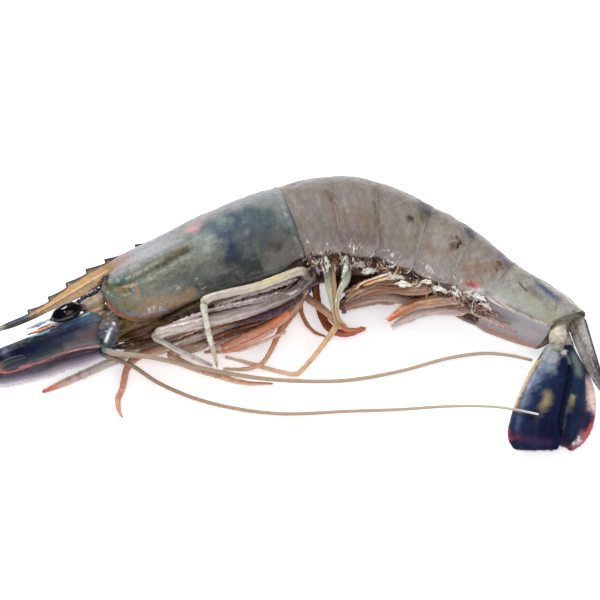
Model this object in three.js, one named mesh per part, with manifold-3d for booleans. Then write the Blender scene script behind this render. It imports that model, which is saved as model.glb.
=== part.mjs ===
// Raw tiger prawn, whole, lying on its right side.
// Millimetres, +Z up, the floor is z = 0. The head is at -X, the tail at +X, the back faces +Y
// and the legs face -Y, so the prawn's left side is the one that faces up.
import * as THREE from 'three';
import ManifoldModule from 'manifold-3d';

const wasm = await ManifoldModule();
wasm.setup();
const { Manifold, Mesh: SolidMesh } = wasm;

// ---------------------------------------------------------------- driving sizes
const GAP = 0.3;             // clearance between neighbouring pieces
const BELLY_RISE = 2.4;      // hollow under the belly, between the two lower shell edges
const SHELL_SIDES = 21;      // points over the back, from one lower shell edge to the other
const BELLY_SIDES = 3;       // points across the belly
const SHELL_SQUARE = 0.8;    // below 1 makes the flanks flatter than an ellipse
const REAR_FLARE = 0.03;     // every shell ring widens towards its rear edge
const RING_ARCH = 0.02;      // and stands a little proud in its middle
const PLEURA_LIFT = 0.10;    // its lower edge is rounded, shorter at both ends
const RIDGE_HEIGHT = 1.2;    // keel along the back of the carapace
const RIDGE_WIDTH = 1.6;
const TAIL_RIDGE = 1.6;      // and one along the last ring
const TAIL_LEAN = 3.2;       // the tail leans over, so its far side hangs this much lower
const LEAN_FROM = 10.8;      // from this station
const LEAN_TO = 12.3;        // fully from this one
const CROWN_PINCH = 0.72;    // how much the top of the carapace narrows towards the rostrum
const PINCH_END = 4.8;       // the station where the narrowing ends
const CARAPACE_FRONT = 0.3;  // the station where the flanks start

// Stations down the body: x, y and height of the centre, heading of the body there in degrees,
// depth to the back, depth to the lower shell edge, half width, angle of that edge.
const STATIONS = [
  [-54.7, -17.4, 10.3, 21.6, 6.0, 8.4, 5.4, 146],
  [-48.1, -16.5, 10.3, 21.6, 8.6, 15.4, 7.8, 146],
  [-41.4, -14.4, 10.3, 21.6, 9.8, 16.9, 9.2, 146],
  [-33.9, -11.5, 10.4, 21.6, 10.3, 16.2, 10.3, 146],
  [-26.4, -8.7, 10.7, 21.6, 11.1, 15.9, 10.9, 146],
  [-19.0, -5.8, 10.8, 21.6, 11.9, 16.3, 11.0, 146],
  [-11.5, -3.0, 10.7, 21.6, 12.8, 15.9, 10.9, 146],
  [-5.1, -0.9, 10.4, 19.0, 13.2, 13.4, 10.6, 146],
  [6.8, 1.3, 10.2, 8.5, 14.6, 14.7, 10.4, 146],
  [17.4, 0.3, 9.9, 0.0, 14.3, 14.4, 10.1, 146],
  [28.8, -4.5, 9.1, -16.0, 12.6, 12.6, 9.3, 146],
  [38.9, -9.7, 8.3, -26.0, 11.0, 11.2, 8.5, 144],
  [47.9, -15.1, 7.1, -34.0, 8.8, 8.6, 7.3, 140],
  [64.2, -25.2, 5.4, -60.0, 7.4, 6.2, 5.6, 134],
];
const FIRST_ABDOMEN = 7;     // the station at the carapace's rear edge
const ABDOMEN_RINGS = 6;

// The rostrum, in the head's own frame: distance ahead of the carapace's rear, then the
// height of its upper and of its lower edge above the head's axis.
const HEAD_HEADING = 21.6;
const HEAD_ORIGIN = [-4.9, 2.14, 10.3];
const ROSTRUM = [
  [30, 9.4, 6.0], [38.3, 9.2, 4.5], [47, 7.9, 2.2], [52.4, 6.8, 0.8], [58.4, 4.8, -0.4],
  [63.8, 2.5, -1.0], [69.7, 0.8, -1.9], [75.5, 0.2, -2.3], [81.5, -0.6, -1.9], [86, -1.6, -2.3],
];
const ROSTRUM_TEETH = [38.3, 47, 52.4, 58.4, 63.8, 69.7];
const TOOTH_HEIGHT = 0.9;
const TOOTH_LEAN = 0.6;      // the teeth point forwards
const ROSTRUM_HALF_WIDTH = [1.8, 0.35];

// ---------------------------------------------------------------- appendages
// Each is one swept solid: points of its centre line, then at those points its half size
// along `across` and its half size square to it. `sides` and `steps` set how fine it is.
const APPENDAGES = {
  // mouth and underside
  thorax: {
    path: [[1.1, -9.4, 10], [-3.4, -12.2, 10], [-15.1, -17.6, 10], [-25.6, -21.7, 10], [-32, -24.2, 10]],
    wide: [5.2, 6, 6, 5.6, 5], thick: [2, 2, 2, 2, 2], across: [0, 0, 1], sides: 12, steps: 2,
  },
  mouthparts: {
    path: [[-33.6, -24.4, 10.3], [-39.3, -26.2, 10.3], [-44, -27.6, 10.2], [-48, -29.3, 10]],
    wide: [5, 5.4, 5, 3.4], thick: [2.2, 2.4, 2.4, 1.8], across: [0, 0, 1], sides: 12, steps: 2,
  },
  // tail fan
  telson: {
    path: [[68.5, -24.3, 5.6], [69.8, -30.2, 5.4], [71.8, -37.4, 5], [74.6, -45.3, 4.6]],
    wide: [2.9, 2.6, 1.9, 0.5], thick: [1.9, 1.5, 1, 0.3], across: [0.5, 0.3, 0.8], sides: 8, steps: 3,
  },
  tail_base_left: {
    path: [[63.3, -25.7, 7.6], [62.9, -28.5, 7.6], [62.3, -31.2, 6.8]],
    wide: [1.9, 2.2, 1.8], thick: [1.9, 2.2, 1.8], across: [1, 0, 0], sides: 10, steps: 3,
  },
  tail_base_right: {
    path: [[64.7, -26.1, 3.2], [65.1, -28.2, 2.8], [65.7, -30.4, 2.6]],
    wide: [1.9, 2.2, 1.8], thick: [1.9, 2.2, 1.8], across: [1, 0, 0], sides: 10, steps: 3,
  },
  uropod_left_outer: {
    path: [[62.6, -31.6, 6.4], [60.9, -38, 6.3], [57.9, -45, 5.8], [56.2, -50.8, 5.2], [55.6, -55.4, 4.7], [55.6, -58.3, 4.4]],
    wide: [3, 5, 5.7, 6.3, 6.7, 5.3], thick: [0.8, 0.75, 0.65, 0.5, 0.4, 0.3], across: [1, 0.1, 0], sides: 8, steps: 2,
  },
  uropod_left_inner: {
    path: [[65, -30.8, 5.4], [65.9, -36.8, 5], [65.4, -42.8, 4.6], [64.2, -48.7, 4.2], [62.9, -53.4, 3.9], [61.7, -56.6, 3.8]],
    wide: [2, 3.1, 3.6, 3.6, 3.2, 2], thick: [0.8, 0.75, 0.65, 0.5, 0.4, 0.3], across: [1, 0.1, 0], sides: 8, steps: 2,
  },
  uropod_right_outer: {
    path: [[66.6, -31.6, 2.6], [68.3, -38.3, 2.4], [68.7, -44.4, 2.2], [67.7, -49.2, 2], [65.7, -53.2, 1.7], [63.3, -55.8, 1.5]],
    wide: [1.8, 2.8, 3.1, 3.2, 3, 2.2], thick: [0.6, 0.6, 0.55, 0.45, 0.35, 0.3], across: [1, 0.1, 0], sides: 8, steps: 2,
  },
  uropod_right_inner: {
    path: [[64.4, -31.6, 2.2], [63.2, -37.5, 1.9], [62, -43.5, 1.7], [60.9, -49, 1.5], [59.8, -53.3, 1.4]],
    wide: [1.8, 3, 3.8, 3.8, 2.2], thick: [0.6, 0.55, 0.5, 0.4, 0.3], across: [1, 0.1, 0], sides: 8, steps: 2,
  },
  // head
  antenna_base_left: {
    path: [[-48.9, -26.2, 12.6], [-49.4, -29.9, 13.2], [-50, -33.5, 12.6]],
    wide: [2.4, 2.5, 1.8], thick: [2.4, 2.5, 1.8], across: [0, 0, 1], sides: 10, steps: 3,
  },
  antenna_base_right: {
    path: [[-49.5, -27.4, 6], [-50.1, -30.1, 5.8], [-50.8, -32.3, 5.6]],
    wide: [2.3, 2.3, 1.7], thick: [2.3, 2.3, 1.7], across: [0, 0, 1], sides: 10, steps: 3,
  },
  eye_stalk_left: {
    path: [[-51.9, -20.7, 13.4], [-54.4, -23, 14.4], [-56.1, -24.4, 15]],
    wide: [1.7, 1.6, 1.3], thick: [1.7, 1.6, 1.3], across: [0, 0, 1], sides: 8, steps: 2,
  },
  eye_left: {
    path: [[-56.6, -24.6, 15.2], [-58, -25.4, 15.7], [-60, -26.4, 15.9], [-62.1, -27.5, 15.7], [-63.6, -28.3, 15.3]],
    wide: [1, 2, 2.3, 1.7, 0.5], thick: [1, 2, 2.3, 1.7, 0.5], across: [0, 0, 1], sides: 10, steps: 2,
  },
  eye_stalk_right: {
    path: [[-51.9, -20.7, 7.2], [-54.4, -23, 6.2], [-56.1, -24.4, 5.6]],
    wide: [1.7, 1.6, 1.3], thick: [1.7, 1.6, 1.3], across: [0, 0, 1], sides: 8, steps: 2,
  },
  eye_right: {
    path: [[-56.6, -24.6, 5.4], [-58, -25.4, 4.9], [-60, -26.4, 4.7], [-62.1, -27.5, 4.9], [-63.6, -28.3, 5.3]],
    wide: [1, 2, 2.3, 1.7, 0.5], thick: [1, 2, 2.3, 1.7, 0.5], across: [0, 0, 1], sides: 10, steps: 2,
  },
  antennal_scale_left: {
    path: [[-51.5, -28.6, 12.2], [-52.8, -29.2, 12.2], [-56.7, -30.5, 12.2], [-61.3, -32.2, 12], [-65.2, -33.8, 11.6], [-71.1, -35.7, 10.8], [-76.2, -37.4, 10.2], [-78.9, -38.5, 9.8]],
    wide: [4, 4.8, 4.2, 3.8, 3.8, 3.6, 3.1, 1], thick: [1.2, 1.3, 1.1, 1, 0.9, 0.7, 0.6, 0.4], across: [0.15, 0.75, 0.66], sides: 8, steps: 2,
  },
  antennal_scale_right: {
    path: [[-52.2, -29.8, 5], [-57.5, -31, 4.6], [-62.2, -32.2, 4.3], [-66.2, -33.8, 4], [-72.1, -35.8, 3.5], [-77.3, -37.4, 3], [-79.6, -38, 2.8]],
    wide: [3.4, 4.1, 4.1, 4, 3.6, 3, 1], thick: [1.2, 1.1, 1, 0.9, 0.7, 0.6, 0.4], across: [0.15, 0.9, 0.35], sides: 8, steps: 2,
  },
  antennule_left: {
    path: [[-52, -24.6, 12], [-58, -26.8, 12], [-63.1, -28.6, 12], [-66.6, -29.6, 12]],
    wide: [1.5, 1.5, 1.4, 1], thick: [1.5, 1.5, 1.4, 1], across: [0, 0, 1], sides: 8, steps: 2,
  },
  antennule_right: {
    path: [[-52, -24.6, 8.6], [-58, -26.8, 8.6], [-63.1, -28.6, 8.6], [-66.6, -29.6, 8.6]],
    wide: [1.5, 1.5, 1.4, 1], thick: [1.5, 1.5, 1.4, 1], across: [0, 0, 1], sides: 8, steps: 2,
  },
  feeler_small: {
    path: [[-69.8, -36.6, 12.1], [-73, -37.5, 12], [-74.9, -38.5, 11.8], [-76.6, -40.2, 11.4], [-77.6, -41.8, 11]],
    wide: [0.5, 0.75, 0.8, 0.7, 0.4], thick: [0.5, 0.75, 0.8, 0.7, 0.4], across: [0, 0, 1], sides: 6, steps: 3,
  },
  feeler_left: {
    path: [[-50.2, -34.8, 12.4], [-48.2, -35.7, 12], [-45, -35.8, 11.4], [-39.3, -35.5, 9.4], [-31.2, -36, 6.6], [-18.8, -37.3, 3.6], [-6.5, -38.1, 1.9], [9.3, -37.7, 1], [23.3, -35, 0.9], [36.1, -31.2, 0.9], [45, -30.1, 1.2], [51.2, -31.2, 2.2], [56.3, -33.1, 3.4]],
    wide: [0.9, 0.75, 0.68, 0.62, 0.58, 0.55, 0.53, 0.51, 0.49, 0.47, 0.45, 0.43, 0.4], across: [0, 0, 1], sides: 6, steps: 2,
  },
  feeler_right: {
    path: [[-50.7, -33.2, 6], [-49, -33.6, 5.6], [-46.5, -34.6, 5], [-44, -35.3, 4.2], [-37.7, -38.9, 2.2], [-28.8, -42.5, 0.9], [-18.7, -45.3, 0.8], [-6.5, -46.9, 0.8], [10.2, -46.2, 0.8], [23, -45.7, 0.8], [35.4, -45.2, 1.5], [45.1, -46.5, 4], [50.8, -48.6, 6.6], [56.3, -50.2, 7.2]],
    wide: [0.8, 0.62, 0.58, 0.55, 0.52, 0.5, 0.48, 0.46, 0.43, 0.41, 0.38, 0.35, 0.32, 0.28], across: [0, 0, 1], sides: 6, steps: 2,
  },
  // walking legs, named from the head backwards, and the long jaw foot
  maxilliped: {
    path: [[-44.2, -30.8, 4.6], [-48, -32.3, 2.6], [-52.9, -34.4, 2], [-57.7, -36.9, 1.9], [-61.9, -38.6, 1.3], [-66.5, -40.7, 0.8]],
    wide: [1.2, 1.15, 1.15, 1.1, 1, 0.45], thick: [1, 0.9, 0.8, 0.8, 0.75, 0.4], across: [0, 1, 0], sides: 8, steps: 2,
  },
  leg_1_right: {
    path: [[-38.8, -28.8, 2.6], [-43.9, -32.2, 2.5], [-45.8, -35.2, 1.9], [-46.7, -39.9, 1.1], [-47.7, -42.9, 0.9], [-47.3, -45.9, 0.8], [-46.4, -47.7, 0.6]],
    wide: [1.3, 1.1, 0.9, 0.85, 0.8, 0.6, 0.25], across: [0, 0, 1], sides: 7, steps: 2,
  },
  leg_2_left: {
    path: [[-19.1, -24.2, 6.6], [-28.2, -27.9, 6.2], [-34.6, -30, 5.2], [-37.9, -31.5, 5.2], [-41.4, -32.3, 5]],
    wide: [1.4, 1.3, 1.1, 1.2, 0.4], across: [0, 0, 1], sides: 7, steps: 2,
  },
  leg_2_right: {
    path: [[-27.3, -29.2, 4], [-34.7, -31, 2.6], [-29.3, -34, 1.2], [-22.5, -36.4, 0.9], [-15.6, -38.3, 0.8], [-9.1, -38.5, 0.7]],
    wide: [1.4, 1.2, 0.9, 0.75, 0.6, 0.3], across: [0, 0, 1], sides: 7, steps: 3,
  },
  leg_3_left: {
    path: [[-9, -20.6, 9.6], [-20, -23.9, 10.4], [-33, -28.2, 9.6], [-39.7, -30.2, 8.5], [-44.9, -32.3, 7]],
    wide: [1.3, 1.5, 1.3, 1.2, 0.5], across: [0, 0, 1], sides: 7, steps: 3,
  },
  leg_3_right: {
    path: [[-4, -20.6, 7.4], [-8.6, -24.5, 7], [-14.6, -27.7, 6], [-21.2, -29.9, 4.8], [-24, -30.6, 4.2]],
    wide: [1.3, 1.5, 1.9, 1.9, 1], thick: [1.1, 1.2, 1.2, 1.2, 0.7], across: [0, 1, 0.3], sides: 8, steps: 2,
  },
  leg_4_left: {
    path: [[-4, -19.4, 13.2], [-17.6, -25.8, 13.8], [-36.6, -30.8, 13.4], [-37.6, -31.3, 12.6], [-36.4, -31.4, 9.9], [-31.8, -32.1, 5.8], [-24.5, -33.5, 1.2]],
    wide: [1.3, 1.5, 1.4, 1.3, 0.8, 0.75, 0.35], thick: [1.1, 1.25, 1.2, 1.1, 0.75, 0.7, 0.35], across: [0, 1, 0.3], sides: 7, steps: 3,
  },
  leg_4_right: {
    path: [[-4, -19.9, 4.6], [-5.6, -22.8, 4.6], [-7.3, -25.9, 4.4], [-9.5, -30.6, 3.4], [-11.6, -33.4, 2.3], [-14.9, -34.4, 1.2], [-21.2, -34.3, 0.7]],
    wide: [1.3, 1, 0.75, 0.65, 0.55, 0.5, 0.3], across: [0, 0, 1], sides: 6, steps: 3,
  },
  leg_5_left: {
    path: [[-0.5, -14.3, 13.2], [-1.8, -15.2, 17], [-12, -20.4, 18.7], [-25.2, -24.4, 18.6], [-25.8, -25.3, 18.2], [-25.2, -29.2, 17], [-24.6, -31.1, 12.2], [-23.9, -32, 7.2], [-23, -33.7, 0.9]],
    wide: [1.4, 1.15, 1.05, 1.05, 0.95, 0.7, 0.8, 0.7, 0.3], across: [0, 0, 1], sides: 7, steps: 3,
  },
  leg_5_right: {
    path: [[-1.2, -14.8, 5], [3.1, -19.5, 6.4], [6.9, -22.7, 5.4], [7.4, -23.2, 5.2], [3.9, -28.6, 3.2], [-2, -35.2, 1], [-2.8, -35.8, 0.9], [-8.6, -34.7, 0.8], [-15, -32.6, 0.8], [-20.8, -30.9, 0.7]],
    wide: [1, 1, 0.9, 0.85, 0.7, 0.6, 0.6, 0.55, 0.5, 0.3], across: [0, 0, 1], sides: 6, steps: 3,
  },
  // swimmerets, named from the head backwards
  swimmeret_1_left: {
    path: [[5.1, -10.4, 13.6], [5.6, -16.3, 12.6], [6.6, -21.9, 10.2], [7.5, -25, 8.4], [9.8, -26.4, 7.2], [14.5, -25.3, 5.8]],
    wide: [1.5, 1.3, 0.9, 0.7, 0.7, 0.3], thick: [1.8, 1.5, 0.95, 0.7, 0.6, 0.25], across: [0, 0, 1], sides: 7, steps: 3,
  },
  swimmeret_1_right: {
    path: [[1.9, -11.2, 5], [2.6, -16.6, 4], [3.8, -20.6, 2.8], [6.2, -23.7, 2], [10, -24.6, 1.7], [14.6, -23.4, 1.5]],
    wide: [1.2, 1.1, 1.1, 1.1, 0.9, 0.4], thick: [1.3, 1.1, 1.2, 1.3, 1.1, 0.3], across: [0, 0, 1], sides: 7, steps: 3,
  },
  swimmeret_2_left: {
    path: [[9.7, -11.1, 13.8], [9.6, -15.3, 13.4], [7.8, -19.1, 12.8], [7.3, -22.6, 12.4], [7.8, -25.8, 11.4], [9.5, -27.2, 10.6]],
    wide: [1.3, 1, 0.7, 0.6, 0.5, 0.25], thick: [1.7, 1.3, 0.85, 0.65, 0.5, 0.25], across: [0, 0, 1], sides: 7, steps: 3,
  },
  swimmeret_2_right: {
    path: [[-0.7, -12.2, 3.6], [-1.9, -17.1, 2.8], [-1.2, -20, 2.2], [0.3, -22.6, 1.5], [2.1, -24, 1], [4.4, -24.9, 0.7]],
    wide: [1, 0.8, 0.7, 0.6, 0.5, 0.3], across: [0, 0, 1], sides: 6, steps: 3,
  },
  swimmeret_3_left: {
    path: [[22.2, -15.3, 14.8], [17.6, -16.5, 14.6], [13.6, -17.7, 14], [9.6, -19.5, 12.8]],
    wide: [1.5, 1.2, 0.9, 0.4], thick: [1, 0.9, 0.6, 0.3], across: [0, 1, 0.2], sides: 8, steps: 3,
  },
  swimmeret_3_right: {
    path: [[21.5, -17.5, 6.6], [17.9, -17.4, 6.4], [13.8, -18, 6], [9.2, -19.8, 5.4]],
    wide: [1.5, 1.4, 1.3, 0.4], thick: [1, 0.8, 0.6, 0.3], across: [0, 1, 0.2], sides: 8, steps: 3,
  },
  swimmeret_4_left: {
    path: [[30.3, -17.6, 12.8], [24.5, -17.7, 12.4], [18.5, -17.1, 11.9], [13.2, -18.3, 11.3], [8.8, -20.9, 10.4]],
    wide: [1.7, 1.6, 1.5, 1.4, 0.4], thick: [1.2, 1, 0.8, 0.7, 0.3], across: [0, 1, 0.2], sides: 8, steps: 3,
  },
  swimmeret_4_right: {
    path: [[30.7, -17.8, 6], [24.7, -18.6, 8], [19.1, -18, 9], [13.7, -18.9, 9], [9.4, -20.7, 8.6]],
    wide: [1.4, 1.3, 1.3, 1.2, 0.4], thick: [1, 0.9, 0.7, 0.6, 0.3], across: [0, 1, 0.2], sides: 8, steps: 3,
  },
  swimmeret_5_left: {
    path: [[39.1, -19.5, 11.6], [33.3, -20.1, 11], [27.8, -20.8, 10.2], [23.7, -22.3, 9.4], [20.2, -24.7, 8.8]],
    wide: [1.6, 1.7, 1.5, 1.4, 0.5], thick: [1.1, 0.9, 0.8, 0.7, 0.3], across: [0, 1, 0.2], sides: 8, steps: 3,
  },
  swimmeret_5_right: {
    path: [[39.5, -20.1, 6], [34.2, -19.9, 5.6], [28.6, -20.4, 5], [24.5, -22.2, 4.6], [21.4, -24.1, 4.2]],
    wide: [1.5, 1.4, 1.3, 1.1, 0.4], thick: [1, 0.8, 0.7, 0.6, 0.3], across: [0, 1, 0.2], sides: 8, steps: 3,
  },
};

// ---------------------------------------------------------------- finishes
const FINISHES = {
  shell: { color: 0x85847a, roughness: 0.32 },
  tail_shell: { color: 0x2f3d63, roughness: 0.3 },
  underside: { color: 0x6a4a2e, roughness: 0.4 },
  eye: { color: 0x15131a, roughness: 0.12 },
  scale: { color: 0x4d5a6d, roughness: 0.35 },
  pale_limb: { color: 0xbdb6a0, roughness: 0.35 },
  pink_limb: { color: 0xa88f86, roughness: 0.35 },
  orange_limb: { color: 0xd08a5e, roughness: 0.35 },
  feeler: { color: 0xa98d6c, roughness: 0.45 },
};
const FINISH_OF = [
  [/^(carapace|abdomen_|telson|tail_base_)/, 'shell'],
  [/^uropod_/, 'tail_shell'],
  [/^(thorax|mouthparts)/, 'underside'],
  [/^eye_(left|right)/, 'eye'],
  [/^antennal_scale_/, 'scale'],
  [/^(leg_5_left|swimmeret_[12]_left)/, 'pale_limb'],
  [/^(leg_[34]_left|eye_stalk|antenna_base_|maxilliped|swimmeret_5_right|swimmeret_[34]_right)/, 'pink_limb'],
  [/^(feeler_(left|right)|antennule_)/, 'feeler'],
  [/./, 'orange_limb'],
];

// ---------------------------------------------------------------- building blocks
const radians = THREE.MathUtils.degToRad;
const clamp = THREE.MathUtils.clamp;

// A smooth line through `values` (numbers) that stand at 0, 1, 2, ...
function smooth(values, at) {
  const last = values.length - 1;
  const i = clamp(Math.floor(at), 0, last - 1);
  const t = at - i;
  const before = i > 0 ? values[i - 1] : 2 * values[0] - values[1];
  const after = i + 2 <= last ? values[i + 2] : 2 * values[last] - values[last - 1];
  const [a, b, c, d] = [before, values[i], values[i + 1], after];
  return 0.5 * (2 * b + (c - a) * t + (2 * a - 5 * b + 4 * c - d) * t * t + (3 * b - a - 3 * c + d) * t ** 3);
}

// A closed solid through rings of points, with a fan at each end.
function loft(rings) {
  const sides = rings[0].length;
  const vertices = [];
  for (const ring of rings) for (const point of ring) vertices.push(point);
  const ends = [rings[0], rings[rings.length - 1]].map((ring) => {
    const middle = new THREE.Vector3();
    for (const point of ring) middle.addScaledVector(point, 1 / sides);
    vertices.push(middle);
    return vertices.length - 1;
  });
  const faces = [];
  for (let i = 0; i + 1 < rings.length; i++) {
    for (let j = 0; j < sides; j++) {
      const a = i * sides + j;
      const b = i * sides + ((j + 1) % sides);
      faces.push([a, b, b + sides], [a, b + sides, a + sides]);
    }
  }
  const lastRing = (rings.length - 1) * sides;
  for (let j = 0; j < sides; j++) {
    const k = (j + 1) % sides;
    faces.push([ends[0], k, j], [ends[1], lastRing + j, lastRing + k]);
  }
  let volume = 0;
  const edge = new THREE.Vector3();
  for (const [a, b, c] of faces) volume += edge.crossVectors(vertices[b], vertices[c]).dot(vertices[a]) / 6;
  if (volume < 0) for (const face of faces) face.reverse();
  return Manifold.ofMesh(new SolidMesh({
    numProp: 3,
    vertProperties: new Float32Array(vertices.flatMap((v) => [v.x, v.y, v.z])),
    triVerts: new Uint32Array(faces.flat()),
  }));
}

// Where the body is at a station, which may lie between two rows of the table.
function bodyAt(station) {
  const [x, y, height, heading, up, down, half, edge] = STATIONS[0].map((_, column) =>
    smooth(STATIONS.map((row) => row[column]), station));
  const turn = radians(heading);
  return {
    centre: new THREE.Vector3(x, y, height),
    back: new THREE.Vector3(-Math.sin(turn), Math.cos(turn), 0),
    up, down, half, edge: radians(edge),
  };
}

// One ring of the shell: over the back from lower edge to lower edge, then across the belly.
function shellRing(station, { swell = 1, arch = 0, lift = 0, grow = 0, rise = BELLY_RISE, ridge = 0, pinch = 0 } = {}) {
  const body = bodyAt(station);
  const up = body.up * (swell + arch) + grow;
  const down = body.down * (1 - lift) + grow;
  const half = body.half * swell + grow;
  const points = [];
  const lean = TAIL_LEAN * THREE.MathUtils.smoothstep(station, LEAN_FROM, LEAN_TO);
  const put = (across, back, upward = -1) => {
    const hangs = lean * THREE.MathUtils.smoothstep(-across / half, -0.5, 0.8) *
      (1 - THREE.MathUtils.smoothstep(upward, -0.2, 0.8));
    points.push(body.centre.clone().addScaledVector(body.back, back - hangs).add(new THREE.Vector3(0, 0, across)));
  };
  let edgeAcross = 0;
  let edgeBack = 0;
  for (let i = 0; i < SHELL_SIDES; i++) {
    const angle = body.edge * (2 * i / (SHELL_SIDES - 1) - 1);
    const crown = 1 - pinch * THREE.MathUtils.smoothstep(Math.cos(angle), 0, 0.7);
    const across = half * crown * Math.sign(Math.sin(angle)) * Math.abs(Math.sin(angle)) ** SHELL_SQUARE;
    const keel = Math.cos(angle) > 0 ? ridge * Math.exp(-((across / RIDGE_WIDTH) ** 2)) : 0;
    edgeAcross = across;
    edgeBack = Math.cos(angle) * (Math.cos(angle) > 0 ? up : down);
    put(across, edgeBack + keel, Math.cos(angle));
  }
  for (let i = 1; i <= BELLY_SIDES; i++) {
    const s = 1 - 2 * i / (BELLY_SIDES + 1);
    put(edgeAcross * 0.93 * s, edgeBack + (rise - grow) * (1 - s ** 4));
  }
  return points;
}

// One hard ring of the abdomen, `index` counted from the carapace.
function abdomenRing(index, grow) {
  const start = FIRST_ABDOMEN + index;
  const length = Math.hypot(STATIONS[start + 1][0] - STATIONS[start][0], STATIONS[start + 1][1] - STATIONS[start][1]);
  const inset = (GAP / 2 - grow) / length;
  const slices = index === ABDOMEN_RINGS - 1 ? 7 : 5;
  const rings = [];
  for (let i = 0; i <= slices; i++) {
    const t = i / slices;
    rings.push(shellRing(start + inset + t * (1 - 2 * inset), {
      swell: 1 + REAR_FLARE * (t - 0.5), arch: RING_ARCH * 4 * t * (1 - t),
      lift: PLEURA_LIFT * Math.abs(2 * t - 1) ** 2.5, grow, rise: index < ABDOMEN_RINGS - 1 ? BELLY_RISE : 0.8,
      ridge: index < ABDOMEN_RINGS - 1 ? 0 : TAIL_RIDGE * Math.sin(Math.PI * t ** 1.2),
    }));
  }
  return loft(rings);
}

// A point of the head's frame: ahead of the carapace's rear, towards the back, towards the left.
function headPoint(ahead, back, left) {
  const turn = radians(HEAD_HEADING);
  return new THREE.Vector3(
    HEAD_ORIGIN[0] - ahead * Math.cos(turn) - back * Math.sin(turn),
    HEAD_ORIGIN[1] - ahead * Math.sin(turn) + back * Math.cos(turn),
    HEAD_ORIGIN[2] + left,
  );
}

function rostrum(grow) {
  const first = ROSTRUM[0][0];
  const last = ROSTRUM[ROSTRUM.length - 1][0];
  const places = [{ ahead: first, tooth: 0 }];
  for (const tooth of ROSTRUM_TEETH) {
    places.push({ ahead: tooth, tooth: 1 }, { ahead: tooth + 1.3, tooth: 0 });
  }
  places.push({ ahead: 76, tooth: 0 }, { ahead: 81.5, tooth: 0 }, { ahead: last, tooth: 0 });
  const rings = places.map(({ ahead, tooth }) => {
    const row = ROSTRUM.findIndex((r, i) => i + 1 === ROSTRUM.length || ROSTRUM[i + 1][0] >= ahead);
    const i = Math.min(row, ROSTRUM.length - 2);
    const at = i + (ahead - ROSTRUM[i][0]) / (ROSTRUM[i + 1][0] - ROSTRUM[i][0]);
    const top = smooth(ROSTRUM.map((r) => r[1]), at);
    const low = smooth(ROSTRUM.map((r) => r[2]), at);
    const share = (ahead - first) / (last - first);
    const half = ROSTRUM_HALF_WIDTH[0] + (ROSTRUM_HALF_WIDTH[1] - ROSTRUM_HALF_WIDTH[0]) * share + grow;
    const ring = [];
    for (let k = 0; k < 8; k++) {
      const angle = k * Math.PI / 4;
      const crest = k === 0 ? tooth : 0;
      ring.push(headPoint(
        ahead + crest * TOOTH_LEAN,
        (top + low) / 2 + ((top - low) / 2 + grow) * Math.cos(angle) + crest * TOOTH_HEIGHT,
        half * Math.sin(angle),
      ));
    }
    return ring;
  });
  return loft(rings);
}

function carapace(grow) {
  const slices = 15;
  const rings = [];
  const rear = FIRST_ABDOMEN - (GAP / 2 - grow) / 6.7;
  for (let i = 0; i <= slices; i++) {
    const t = i / slices;
    const station = CARAPACE_FRONT + (rear - CARAPACE_FRONT) * t;
    const pinch = CROWN_PINCH * (1 - THREE.MathUtils.smoothstep(station, 0, PINCH_END));
    rings.push(shellRing(station, { grow, ridge: RIDGE_HEIGHT, rise: 2, swell: 1 + 0.02 * t ** 6, pinch }));
  }
  return loft(rings).add(rostrum(grow));
}

// A swept solid, round or flattened, rounded off at both ends.
function sweep({ path, wide, thick = wide, across, sides, steps }, grow) {
  const curve = new THREE.CatmullRomCurve3(path.map((p) => new THREE.Vector3(...p)), false, 'centripetal');
  const spans = path.length - 1;
  const count = spans * steps;
  const rings = [];
  const ring = (centre, along, halfWide, halfThick) => {
    const side = new THREE.Vector3(...across).normalize();
    side.addScaledVector(along, -side.dot(along)).normalize();
    const normal = new THREE.Vector3().crossVectors(along, side);
    const points = [];
    for (let k = 0; k < sides; k++) {
      const angle = 2 * Math.PI * k / sides;
      points.push(centre.clone().addScaledVector(side, halfWide * Math.cos(angle))
        .addScaledVector(normal, halfThick * Math.sin(angle)));
    }
    rings.push(points);
  };
  for (let i = 0; i <= count; i++) {
    const t = i / count;
    const centre = curve.getPoint(t);
    const along = curve.getTangent(t);
    const halfWide = Math.max(smooth(wide, t * spans), 0.15) + grow;
    const halfThick = Math.max(smooth(thick, t * spans), 0.15) + grow;
    const nose = Math.min(halfWide, halfThick) * 0.6;
    if (i === 0) ring(centre.clone().addScaledVector(along, -nose), along, halfWide * 0.6, halfThick * 0.6);
    ring(centre, along, halfWide, halfThick);
    if (i === count) ring(centre.clone().addScaledVector(along, nose), along, halfWide * 0.6, halfThick * 0.6);
  }
  return loft(rings);
}

// ---------------------------------------------------------------- assembly
const group = new THREE.Group();
group.name = 'tiger_prawn';
const placed = [];

function overlaps(a, b) {
  const [p, q] = [a.boundingBox(), b.boundingBox()];
  return [0, 1, 2].every((k) => p.min[k] < q.max[k] && q.min[k] < p.max[k]);
}

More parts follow.
